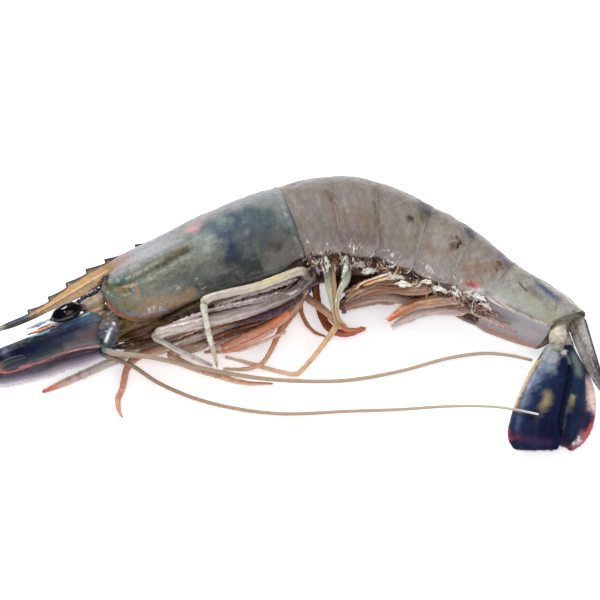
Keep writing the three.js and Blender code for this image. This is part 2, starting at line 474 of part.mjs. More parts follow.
// Clears a new piece of everything that is already in place, keeps its main body and adds it.
function place(name, make) {
  let solid = make(0);
  const near = placed.filter((other) => overlaps(solid, other.grown));
  if (near.length) solid = solid.subtract(Manifold.union(near.map((other) => other.grown)));
  solid = solid.trimByPlane([0, 0, 1], 0);
  solid = solid.decompose().sort((a, b) => b.volume() - a.volume())[0].simplify(0.02);
  placed.push({ name, grown: make(GAP) });

  const mesh = solid.getMesh();
  const geometry = new THREE.BufferGeometry();
  geometry.setAttribute('position', new THREE.BufferAttribute(new Float32Array(mesh.vertProperties), 3));
  geometry.setIndex(new THREE.BufferAttribute(new Uint32Array(mesh.triVerts), 1));
  geometry.computeVertexNormals();
  const finish = FINISHES[FINISH_OF.find(([pattern]) => pattern.test(name))[1]];
  const material = new THREE.MeshStandardMaterial({ ...finish, metalness: 0 });
  material.name = `${name}_finish`;
  const node = new THREE.Mesh(geometry, material);
  node.name = name;
  group.add(node);
}

place('carapace', carapace);
for (let i = 0; i < ABDOMEN_RINGS; i++) place(`abdomen_${i + 1}`, (grow) => abdomenRing(i, grow));
for (const [name, shape] of Object.entries(APPENDAGES)) place(name, (grow) => sweep(shape, grow));

export default group;
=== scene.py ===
# %% [markdown]
# # A whole raw tiger prawn
#
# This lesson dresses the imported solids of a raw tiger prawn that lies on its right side. Every solid is
# replaced by a finer skin that is worked out from the same named sizes: shells are rings of points over
# the back, limbs are sweeps along a curve, and bristles are many thin cones. Each skin carries its own
# painted colour, and a wet finish adds what is finer than the paint.

# %% Load the solids
import math

import bpy
import numpy as np
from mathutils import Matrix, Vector


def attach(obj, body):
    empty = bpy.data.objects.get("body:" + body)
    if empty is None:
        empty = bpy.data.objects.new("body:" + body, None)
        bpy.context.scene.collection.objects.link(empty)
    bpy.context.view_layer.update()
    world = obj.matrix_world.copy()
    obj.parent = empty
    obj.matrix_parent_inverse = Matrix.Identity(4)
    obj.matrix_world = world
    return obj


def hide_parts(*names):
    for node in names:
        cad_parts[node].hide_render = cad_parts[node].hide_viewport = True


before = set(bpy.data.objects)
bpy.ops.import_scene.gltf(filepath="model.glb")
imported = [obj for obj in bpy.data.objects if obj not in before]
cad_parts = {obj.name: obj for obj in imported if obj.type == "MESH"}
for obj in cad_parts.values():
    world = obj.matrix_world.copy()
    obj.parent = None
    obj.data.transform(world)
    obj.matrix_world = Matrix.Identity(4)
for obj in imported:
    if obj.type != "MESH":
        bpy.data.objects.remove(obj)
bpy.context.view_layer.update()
MM = 0.001
print("solids:", len(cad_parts))

# %% [markdown]
# ## The camera, the floor and the light
#
# The camera looks down at 60 degrees through a long lens, as at food on a table. The floor is white and
# bright enough to lose its texture, so the shadows are all that shows of it. One large soft light stands
# behind the prawn and throws the shadows towards us. A wet shell shows the lamps as glints, so the
# general light of the room is kept out of reflections, where it would wash out the dark blues.

# %% The camera
LOOK_AT = (-2.0, -13.7, 0.0)
CAMERA_DISTANCE = 433.0
CAMERA_TILT = math.radians(60)
camera = bpy.data.objects.new("camera", bpy.data.cameras.new("camera"))
camera.data.lens, camera.data.sensor_width = 100, 36
camera.data.clip_start = 0.01
away = Vector((0, -math.cos(CAMERA_TILT), math.sin(CAMERA_TILT)))
camera.location = (Vector(LOOK_AT) + away * CAMERA_DISTANCE) * MM
camera.rotation_euler = (math.pi / 2 - CAMERA_TILT, 0, 0)
bpy.context.scene.collection.objects.link(camera)
bpy.context.scene.camera = camera
bpy.context.scene.view_settings.view_transform = "Standard"
print("camera at", [round(c, 3) for c in camera.location])

# %% The lamps
ROOM_LIGHT = 0.66


def soft_lamp(name, place, size, watts):
    """A round lamp at `place` millimetres that faces the prawn."""
    lamp = bpy.data.objects.new(name, bpy.data.lights.new(name, "AREA"))
    lamp.data.shape = "DISK"
    lamp.data.size = size * MM
    lamp.data.energy = watts
    lamp.location = Vector(place) * MM
    lamp.rotation_euler = (Vector((0, -14, 8)) - Vector(place)).to_track_quat("-Z", "Y").to_euler()
    lamp.visible_camera = False
    bpy.context.scene.collection.objects.link(lamp)


soft_lamp("back_lamp", (-230, 360, 520), size=260, watts=3.2)
soft_lamp("fill_lamp", (260, -420, 420), size=420, watts=0.8)
soft_lamp("glint_lamp", (-60, -260, 560), size=48, watts=0.3)
world = bpy.data.worlds.new("room")
world.use_nodes = True
world.node_tree.nodes["Background"].inputs["Color"].default_value = (0.97, 0.98, 1.0, 1)
world.node_tree.nodes["Background"].inputs["Strength"].default_value = ROOM_LIGHT
bpy.context.scene.world = world
world.cycles_visibility.glossy = False

# %% The floor
FLOOR_DROP = 0.02
FLOOR_HALF = 3000
FLOOR_GLOW = 0.42
floor_mesh = bpy.data.meshes.new("floor")
half, drop = FLOOR_HALF * MM, FLOOR_DROP * MM
corners = [(-half, -half, -drop), (half, -half, -drop), (half, half, -drop), (-half, half, -drop)]
floor_mesh.from_pydata(corners, [], [(0, 1, 2, 3)])
floor = bpy.data.objects.new("floor", floor_mesh)
bpy.context.scene.collection.objects.link(floor)
white = bpy.data.materials.new("white_floor")
white.use_nodes = True
for socket, value in {"Base Color": (0.93, 0.93, 0.93, 1), "Roughness": 1.0, "Specular IOR Level": 0.0,
                      "Emission Color": (1.0, 0.985, 1.0, 1), "Emission Strength": FLOOR_GLOW}.items():
    white.node_tree.nodes["Principled BSDF"].inputs[socket].default_value = value
floor_mesh.materials.append(white)
print("floor at", -FLOOR_DROP, "mm")

# %% [markdown]
# ## Curves through rows of numbers
#
# The whole animal is tables of measurements, read as smooth curves. A shell needs equal steps, so it is
# read with a plain Catmull-Rom curve. A bent limb has long and short steps, where the plain curve would
# loop, so its centre line uses the centripetal kind, which never does.

# %% Smooth rows
def smooth(rows, at):
    """Rows of numbers that stand at 0, 1, 2 and so on, read at the places `at`."""
    rows, at = np.asarray(rows, float), np.asarray(at, float)
    last = len(rows) - 1
    padded = np.concatenate([[2 * rows[0] - rows[1]], rows, [2 * rows[-1] - rows[-2]]])
    step = np.clip(np.floor(at).astype(int), 0, last - 1)
    t = at - step
    if rows.ndim > 1:
        t = t[..., None]
    a, b, c, d = (padded[step + k] for k in range(4))
    return 0.5 * (2 * b + (c - a) * t + (2 * a - 5 * b + 4 * c - d) * t**2 + (3 * b - a - 3 * c + d) * t**3)


def unit(vectors):
    """The same directions, one long."""
    return vectors / np.maximum(np.linalg.norm(vectors, axis=-1, keepdims=True), 1e-12)


def ease(value, low, high):
    """0 below `low`, 1 above `high`, with a soft step between them."""
    t = np.clip((np.asarray(value, float) - low) / (high - low), 0, 1)
    return t * t * (3 - 2 * t)


def fall(value, low, high):
    """1 below `low`, 0 above `high`."""
    return 1 - ease(value, low, high)


def near(value, place, low, high):
    """1 within `low` of the place, 0 more than `high` away."""
    return fall(np.abs(value - place), low, high)


print("half way between 1, 2, 4:", smooth([1.0, 2.0, 4.0], 1.5))

# %% The centre line of a limb
def centre_line(path, at):
    """Centripetal Catmull-Rom curve through `path`, read at the places `at`."""
    p = np.asarray(path, float)
    p = np.concatenate([[2 * p[0] - p[1]], p, [2 * p[-1] - p[-2]]])
    at = np.asarray(at, float)
    step = np.clip(np.floor(at).astype(int), 0, len(path) - 2)
    t = (at - step)[..., None]
    p0, p1, p2, p3 = (p[step + k] for k in range(4))
    gaps = (p1 - p0, p2 - p1, p3 - p2)
    d0, d1, d2 = (np.sqrt(np.linalg.norm(gap, axis=-1, keepdims=True)) for gap in gaps)
    m1 = ((p1 - p0) / d0 - (p2 - p0) / (d0 + d1) + (p2 - p1) / d1) * d1
    m2 = ((p2 - p1) / d1 - (p3 - p1) / (d1 + d2) + (p3 - p2) / d2) * d1
    return p1 + m1 * t + (3 * (p2 - p1) - 2 * m1 - m2) * t**2 + (2 * (p1 - p2) + m1 + m2) * t**3


def direction(path, at):
    """Which way the centre line runs at the places `at`."""
    nudge, last = 1e-3, len(path) - 1
    at = np.asarray(at, float)
    after, before = np.clip(at + nudge, 0, last), np.clip(at - nudge, 0, last)
    return unit(centre_line(path, after) - centre_line(path, before))


print("a point of a bend:", centre_line([(0, 0, 0), (1, 0, 0), (1, 1, 0)], 0.5).round(3))

# %% Uneven strength
rng = np.random.default_rng(7)
WAVE_COUNT = 14
WAVE_HEIGHT = 4.2
WAVES = [(unit(rng.normal(size=3)), rng.uniform(0.6, 1.7), rng.uniform(0, 2 * math.pi))
         for _ in range(WAVE_COUNT)]


def ripple(points, size, shift=0.0):
    """A smooth random height from about -1 to 1, whose bumps are `size` millimetres apart."""
    height = 0.0
    for way, pace, phase in WAVES:
        height = height + np.sin(points @ (way * 2 * math.pi * pace / size) + phase + shift * 3.1)
    return height / WAVE_HEIGHT


def coarse_ripple(points, size, shift=0.0):
    """The same with finer bumps on top."""
    return 0.62 * ripple(points, size, shift) + 0.38 * ripple(points + 9.7, size * 0.43, shift + 1.7)


print("ripple:", ripple(np.zeros((1, 3)), 5.0).round(3))

# %% [markdown]
# ## Paint and pieces
#
# Colour that belongs to a place, such as a blotch on the flank, is painted on the points of the skin
# while it is made. Each stroke has a path in millimetres, a width and a ragged edge. Paint kept this way
# follows the shape and needs no unwrapping. What is finer than the points comes from shader noise later.

# %% Strokes of colour
def colour(code):
    """A #rrggbb colour as linear light."""
    values = np.array([int(code[k : k + 2], 16) for k in (1, 3, 5)]) / 255
    return np.where(values <= 0.04045, values / 12.92, ((values + 0.055) / 1.055) ** 2.4)


def distance_to(points, path):
    """How far the points lie from the line through `path`."""
    path = np.atleast_2d(np.asarray(path, float))
    if len(path) == 1:
        return np.linalg.norm(points - path[0], axis=-1)
    nearest = np.full(points.shape[:-1], np.inf)
    for start, end in zip(path[:-1], path[1:]):
        run = end - start
        share = np.clip(((points - start) @ run) / (run @ run), 0, 1)
        nearest = np.minimum(nearest, np.linalg.norm(points - start - share[..., None] * run, axis=-1))
    return nearest


class Paint:
    """The colour of every point of a skin."""

    def __init__(self, points, base):
        self.points = points
        self.rgb = np.empty(points.shape)
        self.rgb[:] = colour(base)

    def over(self, code, mask):
        """Lays one colour over the rest, as far as the mask says."""
        self.rgb += (colour(code) - self.rgb) * np.clip(mask, 0, 1)[..., None]

    def stroke(self, code, path, width, strength=1.0, soft=0.6, ragged=0.25):
        """A stroke of `width` millimetres to each side of the path, with a soft and ragged edge."""
        reach = distance_to(self.points, path) / width
        shift = width + float(path[0][0])
        uneven = 0.6 * ripple(self.points, width * 2.6, shift)
        uneven += 0.5 * ripple(self.points, width * 0.9, shift + 2)
        uneven += 0.35 * ripple(self.points, width * 0.33, shift + 5)
        self.over(code, strength * fall(reach + ragged * uneven, 1 - 1.3 * soft, 1 + 0.6 * soft))

    def strokes(self, rows, place):
        """Strokes from rows of colour, path, width, strength, softness and raggedness."""
        for code, path, *edge in rows:
            self.stroke(code, place(*path), *edge)

    def cloud(self, code, size, strength, mask=1.0, shift=0.0):
        """Loose clouds of one colour, `size` millimetres across, all over or where the mask is."""
        height = coarse_ripple(self.points, size, shift) + 0.5 * ripple(self.points, size * 0.3, shift + 4)
        self.over(code, strength * ease(height, -0.2, 1.3) * mask)

    def run(self, at, shades):
        """A run of colours along the places `at`, from a list of (place, colour)."""
        places = [place for place, _ in shades]
        codes = np.array([colour(code) for _, code in shades])
        self.rgb[:] = np.stack([np.interp(at, places, codes[:, k]) for k in range(3)], -1)


print("middle grey is", colour("#808080").round(3))

# %% Which way is out
def outward(points):
    """The direction out of a closed tube at each of its points."""
    across = np.roll(points, -1, 1) - np.roll(points, 1, 1)
    normal = unit(np.cross(np.gradient(points, axis=0), across))
    middle = points.mean(axis=1, keepdims=True)
    return normal * np.sign((normal * (points - middle)).sum())


def with_lids(grid):
    """The values of a tube's rows in one list, followed by those of the middles of its two lids."""
    middles = np.stack([grid[0].mean(axis=0), grid[-1].mean(axis=0)])
    return np.concatenate([grid.reshape(grid.shape[0] * grid.shape[1], -1), middles.reshape(2, -1)])


print("points of a small tube with lids:", len(with_lids(np.zeros((3, 4, 3)))))

# %% A piece of many skins
class Piece:
    """Gathers closed skins in millimetres and makes one mesh object of them."""

    def __init__(self, name):
        self.name, self.count = name, 0
        self.points, self.faces, self.rgb, self.wet, self.lay = [], [], [], [], []

    def gather(self, points, faces, rgb, wet, lay):
        """Adds points with their faces, colour, wetness and place along a feeler."""
        self.points.append(points.reshape(-1, 3))
        self.rgb.append(np.broadcast_to(rgb, points.shape).reshape(-1, 3))
        self.wet.append(np.broadcast_to(wet, points.shape[:-1]).reshape(-1))
        self.lay.append(np.broadcast_to(lay, points.shape).reshape(-1, 3))
        self.faces.extend((faces + self.count).tolist())
        self.count += points.size // 3

    def tube(self, points, rgb, wet=0.5, lay=0.0):
        """A skin of rows that close round, with a lid at both ends. It stays above the floor."""
        points = np.concatenate([points[..., :2], np.maximum(points[..., 2:], 0.0)], -1)
        rows, columns = points.shape[:2]
        rgb = np.broadcast_to(rgb, points.shape)
        wet = np.broadcast_to(wet, points.shape[:-1])
        lay = np.broadcast_to(lay, points.shape)
        grid = np.arange(rows * columns).reshape(rows, columns)
        next_round = np.roll(grid, -1, 1)
        quads = np.stack([grid[:-1], next_round[:-1], next_round[1:], grid[1:]], -1).reshape(-1, 4)
        a, b, c, d = (points.reshape(-1, 3)[quads[:, k]] for k in range(4))
        volume = (np.einsum("ij,ij->i", a, np.cross(b, c)) + np.einsum("ij,ij->i", a, np.cross(c, d))).sum()
        lids = [np.stack([np.full(columns, rows * columns), next_round[0], grid[0]], -1),
                np.stack([np.full(columns, rows * columns + 1), grid[-1], next_round[-1]], -1)]
        if volume < 0:
            quads, lids = quads[:, ::-1], [lid[:, ::-1] for lid in lids]
        before = self.count
        self.gather(with_lids(points), quads, with_lids(rgb), with_lids(wet)[:, 0], with_lids(lay))
        for lid in lids:
            self.faces.extend((lid + before).tolist())

    def make(self, finish, slot, *nodes):
        """The mesh object, with its finish, riding on the prawn in place of the named solids."""
        mesh = bpy.data.meshes.new(self.name)
        mesh.from_pydata((np.concatenate(self.points) * MM).tolist(), [], self.faces)
        mesh.polygons.foreach_set("use_smooth", np.ones(len(mesh.polygons), bool))
        rgb = np.concatenate(self.rgb)
        paint = mesh.attributes.new("paint", "FLOAT_COLOR", "POINT")
        rgba = np.c_[np.clip(rgb, 0, 1), np.ones(len(rgb))]
        paint.data.foreach_set("color", rgba.astype(np.float32).ravel())
        mesh.attributes.new("wet", "FLOAT", "POINT").data.foreach_set(
            "value", np.concatenate(self.wet).astype(np.float32))
        mesh.attributes.new("lay", "FLOAT_VECTOR", "POINT").data.foreach_set(
            "vector", np.concatenate(self.lay).astype(np.float32).ravel())
        mesh.materials.append(finish)
        made = bpy.data.objects.new(self.name, mesh)
        bpy.context.scene.collection.objects.link(made)
        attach(made, "root")
        if nodes:
            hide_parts(*nodes)
        print(f"{self.name}: {len(rgb)} points")
        return made


print("ready to gather skins")

# %% Bristles
HAIR_SIDES = 3


def bristles(piece, roots, ways, lengths, thick, code, droop=0.0):
    """Thin bent cones that stand on the roots and point along the ways."""
    count = len(roots)
    ways = unit(ways)
    side = unit(np.cross(ways, np.array([0.13, 0.21, 0.97])))
    up = np.cross(ways, side)
    bend = rng.normal(0, 0.10, (count, 1)) * side + rng.normal(0, 0.10, (count, 1)) * up
    bend[:, 2] -= droop
    rows = []
    for share, girth in ((-0.04, 1.0), (0.35, 0.8), (0.7, 0.5), (1.0, 0.12)):
        middle = roots + lengths[:, None] * (ways * share + bend * share**2)
        ring = [middle + thick * girth * (side * math.cos(a) + up * math.sin(a))
                for a in np.arange(HAIR_SIDES) * 2 * math.pi / HAIR_SIDES]
        rows.append(np.stack(ring, 1))
    points = np.stack(rows, 1)
    grid = np.arange(4 * HAIR_SIDES).reshape(4, HAIR_SIDES)
    around = np.roll(grid, -1, 1)
    quads = np.stack([grid[:-1], around[:-1], around[1:], grid[1:]], -1).reshape(-1, 4)
    start = np.arange(count)[:, None, None] * 4 * HAIR_SIDES
    piece.gather(points, (quads[None] + start).reshape(-1, 4), colour(code), 0.3, 0.0)
    lids = np.stack([grid[0][::-1], grid[-1]])
    piece.faces.extend((lids[None] + start + piece.count - points.size // 3).reshape(-1, HAIR_SIDES).tolist())


print("bristles have", HAIR_SIDES, "sides")

# %% [markdown]
# ## Wet finishes
#
# Shader sums are written as plain Python here. `Wire` wraps one output of a node, and its operators add
# the Math nodes. `Finish` makes a material round one Principled shader: what is the same all over is set
# on the shader itself, and only colour, roughness, coat and bump come in through wires.

# %% Wires
class Wire:
    """An output of a shader node that can be added, multiplied and so on."""

    def __init__(self, finish, socket):
        self.finish, self.socket = finish, socket

    def _sum(self, operation, first, second):
        return self.finish.node("ShaderNodeMath", {"operation": operation}, {0: first, 1: second})

    def __add__(self, other):
        return self._sum("ADD", self, other)

    def __mul__(self, other):
        return self._sum("MULTIPLY", self, other)

    def __sub__(self, other):
        return self._sum("SUBTRACT", self, other)

    def __rsub__(self, other):
        return self._sum("SUBTRACT", other, self)

    __radd__, __rmul__ = __add__, __mul__

    def eased(self, low, high, bottom=0.0, top=1.0):
        """From bottom to top as this goes from low to high."""
        settings = {"interpolation_type": "SMOOTHSTEP", "clamp": True}
        return self.finish.node("ShaderNodeMapRange", settings,
                                {0: self, 1: low, 2: high, 3: bottom, 4: top})


print("wires are ready")

# %% Finishes
class Finish:
    """A material round one Principled shader."""

    def __init__(self, name, **even):
        self.material = bpy.data.materials.new(name)
        self.material.use_nodes = True
        self.tree = self.material.node_tree
        self.shader = self.tree.nodes["Principled BSDF"]
        for socket, value in even.items():
            self.shader.inputs[socket.replace("_", " ")].default_value = value

    def node(self, kind, settings, inputs, output=0):
        """Adds a node: its settings first, then the values or wires of its sockets."""
        made = self.tree.nodes.new(kind)
        for name, value in settings.items():
            setattr(made, name, value)
        for key, value in inputs.items():
            if isinstance(value, Wire):
                self.tree.links.new(value.socket, made.inputs[key])
            else:
                made.inputs[key].default_value = value
        return Wire(self, made.outputs[output])

    def stored(self, name, output="Fac"):
        """What the points of the skin carry under this name."""
        return self.node("ShaderNodeAttribute", {"attribute_name": name}, {}, output)

    def grain(self, size, detail=3.0, rough=0.55):
        """Noise whose blobs are about `size` millimetres."""
        place = self.node("ShaderNodeTexCoord", {}, {}, "Object")
        inputs = {"Vector": place, "Scale": 1 / (size * MM), "Detail": detail, "Roughness": rough}
        return self.node("ShaderNodeTexNoise", {}, inputs)

    def blend(self, factor, first, second, kind="MIX"):
        """One colour over another."""
        settings = {"data_type": "RGBA", "blend_type": kind, "clamp_result": kind != "MIX"}
        return self.node("ShaderNodeMix", settings, {0: factor, 6: first, 7: second}, 2)

    def feed(self, socket, wire):
        """Drives a socket of the shader."""
        self.tree.links.new(wire.socket, self.shader.inputs[socket])

    def bump(self, height, depth):
        """Relief `depth` millimetres deep, felt by the light but not by the outline."""
        return self.node("ShaderNodeBump", {}, {"Height": height, "Distance": depth * MM, "Strength": 1.0})


print("finishes are ready")

# %% One wet finish, told apart by its numbers
def wet_finish(name, level=1.0, mottle=0.16, mottle_size=1.4, specks=0.0, dry=0.42, slick=0.16, pits=0.05,
               glow=0.12, coat=0.35):
    """Painted skin under a film of water. `level` makes the paint darker, `dry` and `slick` are the
    roughness where wet is 0 and 1."""
    made = Finish(name, Subsurface_Weight=glow, Subsurface_Radius=(1.0, 0.62, 0.42),
                  Subsurface_Scale=1.6 * MM, IOR=1.42, Coat_Roughness=0.12, Coat_IOR=1.33)
    paint = made.stored("paint", "Color")
    blobs, fine = made.grain(mottle_size), made.grain(mottle_size * 0.22, 4.0, 0.6)
    shade = level * (1.0 + mottle * 2 * (blobs - 0.5) + mottle * 1.4 * (fine - 0.5))
    tone = made.node("ShaderNodeCombineColor", {}, {0: shade, 1: shade, 2: shade})
    painted = made.blend(1.0, paint, tone, "MULTIPLY")
    if specks:
        dots = made.grain(0.55, 1.0, 0.5)
        painted = made.blend(dots.eased(0.60, 0.70, 0.0, specks), painted, (0.02, 0.022, 0.03, 1))
    made.feed("Base Color", painted)
    wet = made.stored("wet")
    film = (wet + 0.5 * (blobs - 0.5)).eased(0.1, 0.9)
    made.feed("Roughness", dry + (slick - dry) * film)
    made.feed("Coat Weight", coat * film)
    made.feed("Normal", made.bump(fine * 0.6 + blobs, pits))
    return made


print("wet finishes are ready")

# %% [markdown]
# ## The hard shell
#
# A prawn's trunk is a row of hard rings, each slid a little way over the next, with the carapace as the
# first and longest. One table of stations runs from the eyes to the tail: where the body's axis is, which
# way it heads, how deep it is to the back and to the lower edge, and how wide. A point of the shell is then
# a station and an angle over the back, so a band or blotch is painted in those same two numbers and both
# flanks get it.

# %% Stations along the body
STATIONS = [  # x, y and height of the axis, heading, depth to the back, depth to the edge, half width, edge
    (-54.7, -17.4, 10.3, 21.6, 6, 8.4, 5.4, 146), (-48.1, -16.5, 10.3, 21.6, 8.6, 15.4, 7.8, 146),
    (-41.4, -14.4, 10.3, 21.6, 9.8, 16.9, 9.2, 146), (-33.9, -11.5, 10.4, 21.6, 10.3, 16.2, 10.3, 146),
    (-26.4, -8.7, 10.7, 21.6, 11.1, 15.9, 10.9, 146), (-19, -5.8, 10.8, 21.6, 11.9, 16.3, 11, 146),
    (-11.5, -3, 10.7, 21.6, 12.8, 15.9, 10.9, 146), (-5.1, -0.9, 10.4, 19, 13.2, 13.4, 10.6, 146),
    (6.8, 1.3, 10.2, 8.5, 14.6, 14.7, 10.4, 146), (17.4, 0.3, 9.9, 0, 14.3, 14.4, 10.1, 146),
    (28.8, -4.5, 9.1, -16, 12.6, 12.6, 9.3, 146), (38.9, -9.7, 8.3, -26, 11, 11.2, 8.5, 144),
    (47.9, -15.1, 7.1, -34, 8.8, 8.6, 7.3, 140), (64.2, -25.2, 5.4, -60, 7.4, 6.2, 5.6, 134),
]
EDGE_ANGLE = 146
HEAD_HEADING = math.radians(21.6)
FIRST_RING = 7
RINGS = 6
SHELL_SQUARE = 0.8
KEEL_HEIGHT, KEEL_WIDTH = 1.2, 1.6
BELLY_RISE = 2.4
CROWN_PINCH, PINCH_END = 0.72, 4.8
TAIL_RIDGE, TAIL_LEAN, LEAN_FROM, LEAN_TO = 1.6, 3.2, 10.8, 12.3


def shell_point(station, degrees, swell=1.0, lift=0.0, keel=0.0):
    """A point of the shell: how far along the body, and the angle from the back, left side up."""
    x, y, height, heading, up, down, half, _ = np.moveaxis(smooth(STATIONS, station), -1, 0)
    turn, angle = np.radians(heading), np.radians(degrees)
    crown = 1 - CROWN_PINCH * fall(station, 0, PINCH_END) * ease(np.cos(angle), 0, 0.7)
    across = half * swell * crown * np.sign(np.sin(angle)) * np.abs(np.sin(angle)) ** SHELL_SQUARE
    over = np.cos(angle) > 0
    back = np.cos(angle) * np.where(over, up * swell, down * (1 - lift))
    back = back + np.where(over, keel * np.exp(-((across / KEEL_WIDTH) ** 2)), 0)
    lean = TAIL_LEAN * ease(station, LEAN_FROM, LEAN_TO) * ease(-across / half, -0.5, 0.8)
    back = back - lean * fall(np.cos(angle), -0.2, 0.8)
    return np.stack([x - np.sin(turn) * back, y + np.cos(turn) * back, height + across], -1)


def on_shell(*places):
    """The path through (station, angle) places on the shell's left side."""
    return [shell_point(station, degrees) for station, degrees in places]


def body_axes(station):
    """The directions to the back and to the tail."""
    heading = np.radians(smooth(STATIONS, station)[..., 3])
    sine, cosine, level = np.sin(heading), np.cos(heading), np.zeros_like(heading)
    return np.stack([-sine, cosine, level], -1), np.stack([cosine, sine, level], -1)


print("middle of the back:", shell_point(8.0, 0.0).round(1))

# %% Rings of points
OVER_BACK = 161
OVER_BELLY = 23


def shell_skin(stations, swell, lift, keel=0.0, rise=BELLY_RISE):
    """Rows of points over the back and across the belly. `stations` is rows by OVER_BACK."""
    rows = len(stations)
    edge = smooth(STATIONS, stations)[..., 7]
    degrees = edge * np.linspace(-1, 1, OVER_BACK)
    column = lambda values: np.broadcast_to(values, (rows,))[:, None]
    over = shell_point(stations, degrees, column(swell), column(lift), column(keel))
    first, last = over[:, :1], over[:, -1:]
    s = np.linspace(1, -1, OVER_BELLY + 2)[1:-1][None, :, None]
    back, _ = body_axes(stations[:, -1])
    hollow = rise * (1 - np.abs(s) ** 4) * back[:, None]
    belly = (first + last) / 2 + (last - first) / 2 * s * 0.95 + hollow
    points = np.concatenate([over, belly], 1)
    middle = np.broadcast_to(180.0 - 30 * np.abs(s[..., 0]), (rows, OVER_BELLY))
    degrees = np.concatenate([degrees, middle], 1)
    stations = np.concatenate([stations, np.repeat(stations[:, -1:], OVER_BELLY, 1)], 1)
    return points, stations, degrees


def left_side(points, stations):
    """Where the points would be on the left side, so that both flanks take the same strokes."""
    axis = smooth(STATIONS, stations)[..., 2]
    mirrored = points.copy()
    mirrored[..., 2] = axis + np.abs(points[..., 2] - axis)
    return mirrored


print("points in a ring:", OVER_BACK + OVER_BELLY)

# %% [markdown]
# ## The carapace
#
# The carapace covers head and thorax in one piece. Its front edge is cut back at the eye and runs out to a
# point below it, its lower edge has a thin rim, and its back carries a keel that goes on as the rostrum.
# The grooves of the flank are pressed in with the same strokes that paint them, so colour and relief agree.
# A live tiger prawn is banded, and in this one the dark gut shows through as a blue-green cloud.

# %% The carapace's skin
CARAPACE_ROWS = 190
FRONT_EDGE = [  # angle from the back, station
    (0, 0.25), (50, 0.25), (72, 0.42), (84, 0.62), (96, 0.5), (106, 0.28), (113, 0.34), (125, 0.3),
    (138, 0.28), (146, 0.55),
]
REAR_OVERLAP = 0.09
REAR_STATION_LENGTH = 6.7
DEGREE_LENGTH = 0.25
share = np.linspace(0, 1, CARAPACE_ROWS)[:, None]
angles = EDGE_ANGLE * np.abs(np.linspace(-1, 1, OVER_BACK))[None]
front = np.interp(angles, *zip(*FRONT_EDGE))
inside = [front + depth for depth in (0.75, 0.55, 0.25, 0.05)]
outside = front + (FIRST_RING + REAR_OVERLAP - front) * share
tucked = [np.full_like(front, FIRST_RING + REAR_OVERLAP - depth) for depth in (0.02, 0.10)]
carapace_stations = np.concatenate([*inside, outside, *tucked])
back_share = share[:, 0]
swelling = 1 + 0.02 * back_share**6 + 0.006 * ease(back_share, 0.985, 0.995)
swelling = np.r_[0.35, 0.7, 0.9, 0.975, swelling, 0.99, 0.93]
keel_height = KEEL_HEIGHT * ease(back_share, 0.22, 0.42) * (1 - 0.6 * ease(back_share, 0.5, 1.0))
keel_height = np.r_[0, 0, 0, 0, keel_height, 0.4, 0.2]
points, stations, degrees = shell_skin(carapace_stations, swelling, 0.0, keel_height, rise=2.0)
crown = fall(stations, 0.1, 1.7) * ease(np.cos(np.radians(degrees)), 0.05, 0.5)
axis = smooth(STATIONS, stations)
points[..., 2] = axis[..., 2] + (points[..., 2] - axis[..., 2]) * (1 - 0.75 * crown)
points[..., 0] += crown * math.sin(HEAD_HEADING)
points[..., 1] -= crown * math.cos(HEAD_HEADING)
flank = left_side(points, stations)
angle = np.abs(degrees)
print("carapace skin:", points.shape)

# %% Its grooves and rims
GROOVES = {  # name: (places, width, depth); a negative depth stands out
    "below the eye": ([(0.6, 108), (1.4, 104), (2.1, 101), (2.9, 98), (3.4, 96)], 0.75, 0.3),
    "ridge over it": ([(0.5, 98), (1.4, 94), (2.1, 91), (2.9, 88), (3.4, 86)], 1.3, -0.16),
    "ridge below it": ([(1.6, 112), (2.2, 109), (3, 106), (3.6, 104)], 1.4, -0.12),
    "gill cover": ([(1.2, 108), (1.55, 116), (1.75, 123), (2.6, 128), (4, 131), (5.4, 133)], 1.1, 0.16),
    "eye socket": ([(0.62, 92), (0.9, 98)], 0.8, 0.25),
    "cheek": ([(0.5, 112), (0.9, 106), (1.3, 108), (1.4, 115), (1, 119)], 0.5, -0.22),
    "cheek hollow": ([(0.9, 113), (1.1, 113)], 0.5, 0.2),
    "rear rim": ([(6.86, 60), (6.88, 90), (6.9, 120), (6.92, 140)], 0.5, 0.14),
}
relief = np.zeros(angle.shape)
for path, width, depth in GROOVES.values():
    bed = np.exp(-((distance_to(flank, on_shell(*path)) / width) ** 2))
    relief -= depth * bed * (1 + 0.35 * ripple(flank, 4.0, depth))
edge_gap = (EDGE_ANGLE - angle) * DEGREE_LENGTH
relief += 0.22 * near(edge_gap, 0.4, 0.2, 0.8) * (angle <= EDGE_ANGLE)
from_rear = (FIRST_RING + REAR_OVERLAP - stations) * REAR_STATION_LENGTH
relief += 0.10 * near(from_rear, 0.35, 0.1, 0.55)
relief += 0.13 * coarse_ripple(flank, 9.0) + 0.03 * coarse_ripple(flank, 2.0, 3)
relief[:4], relief[-2:] = 0, 0
points = points + outward(points) * relief[..., None]
print("deepest groove", round(float(relief.min()), 2), "mm")

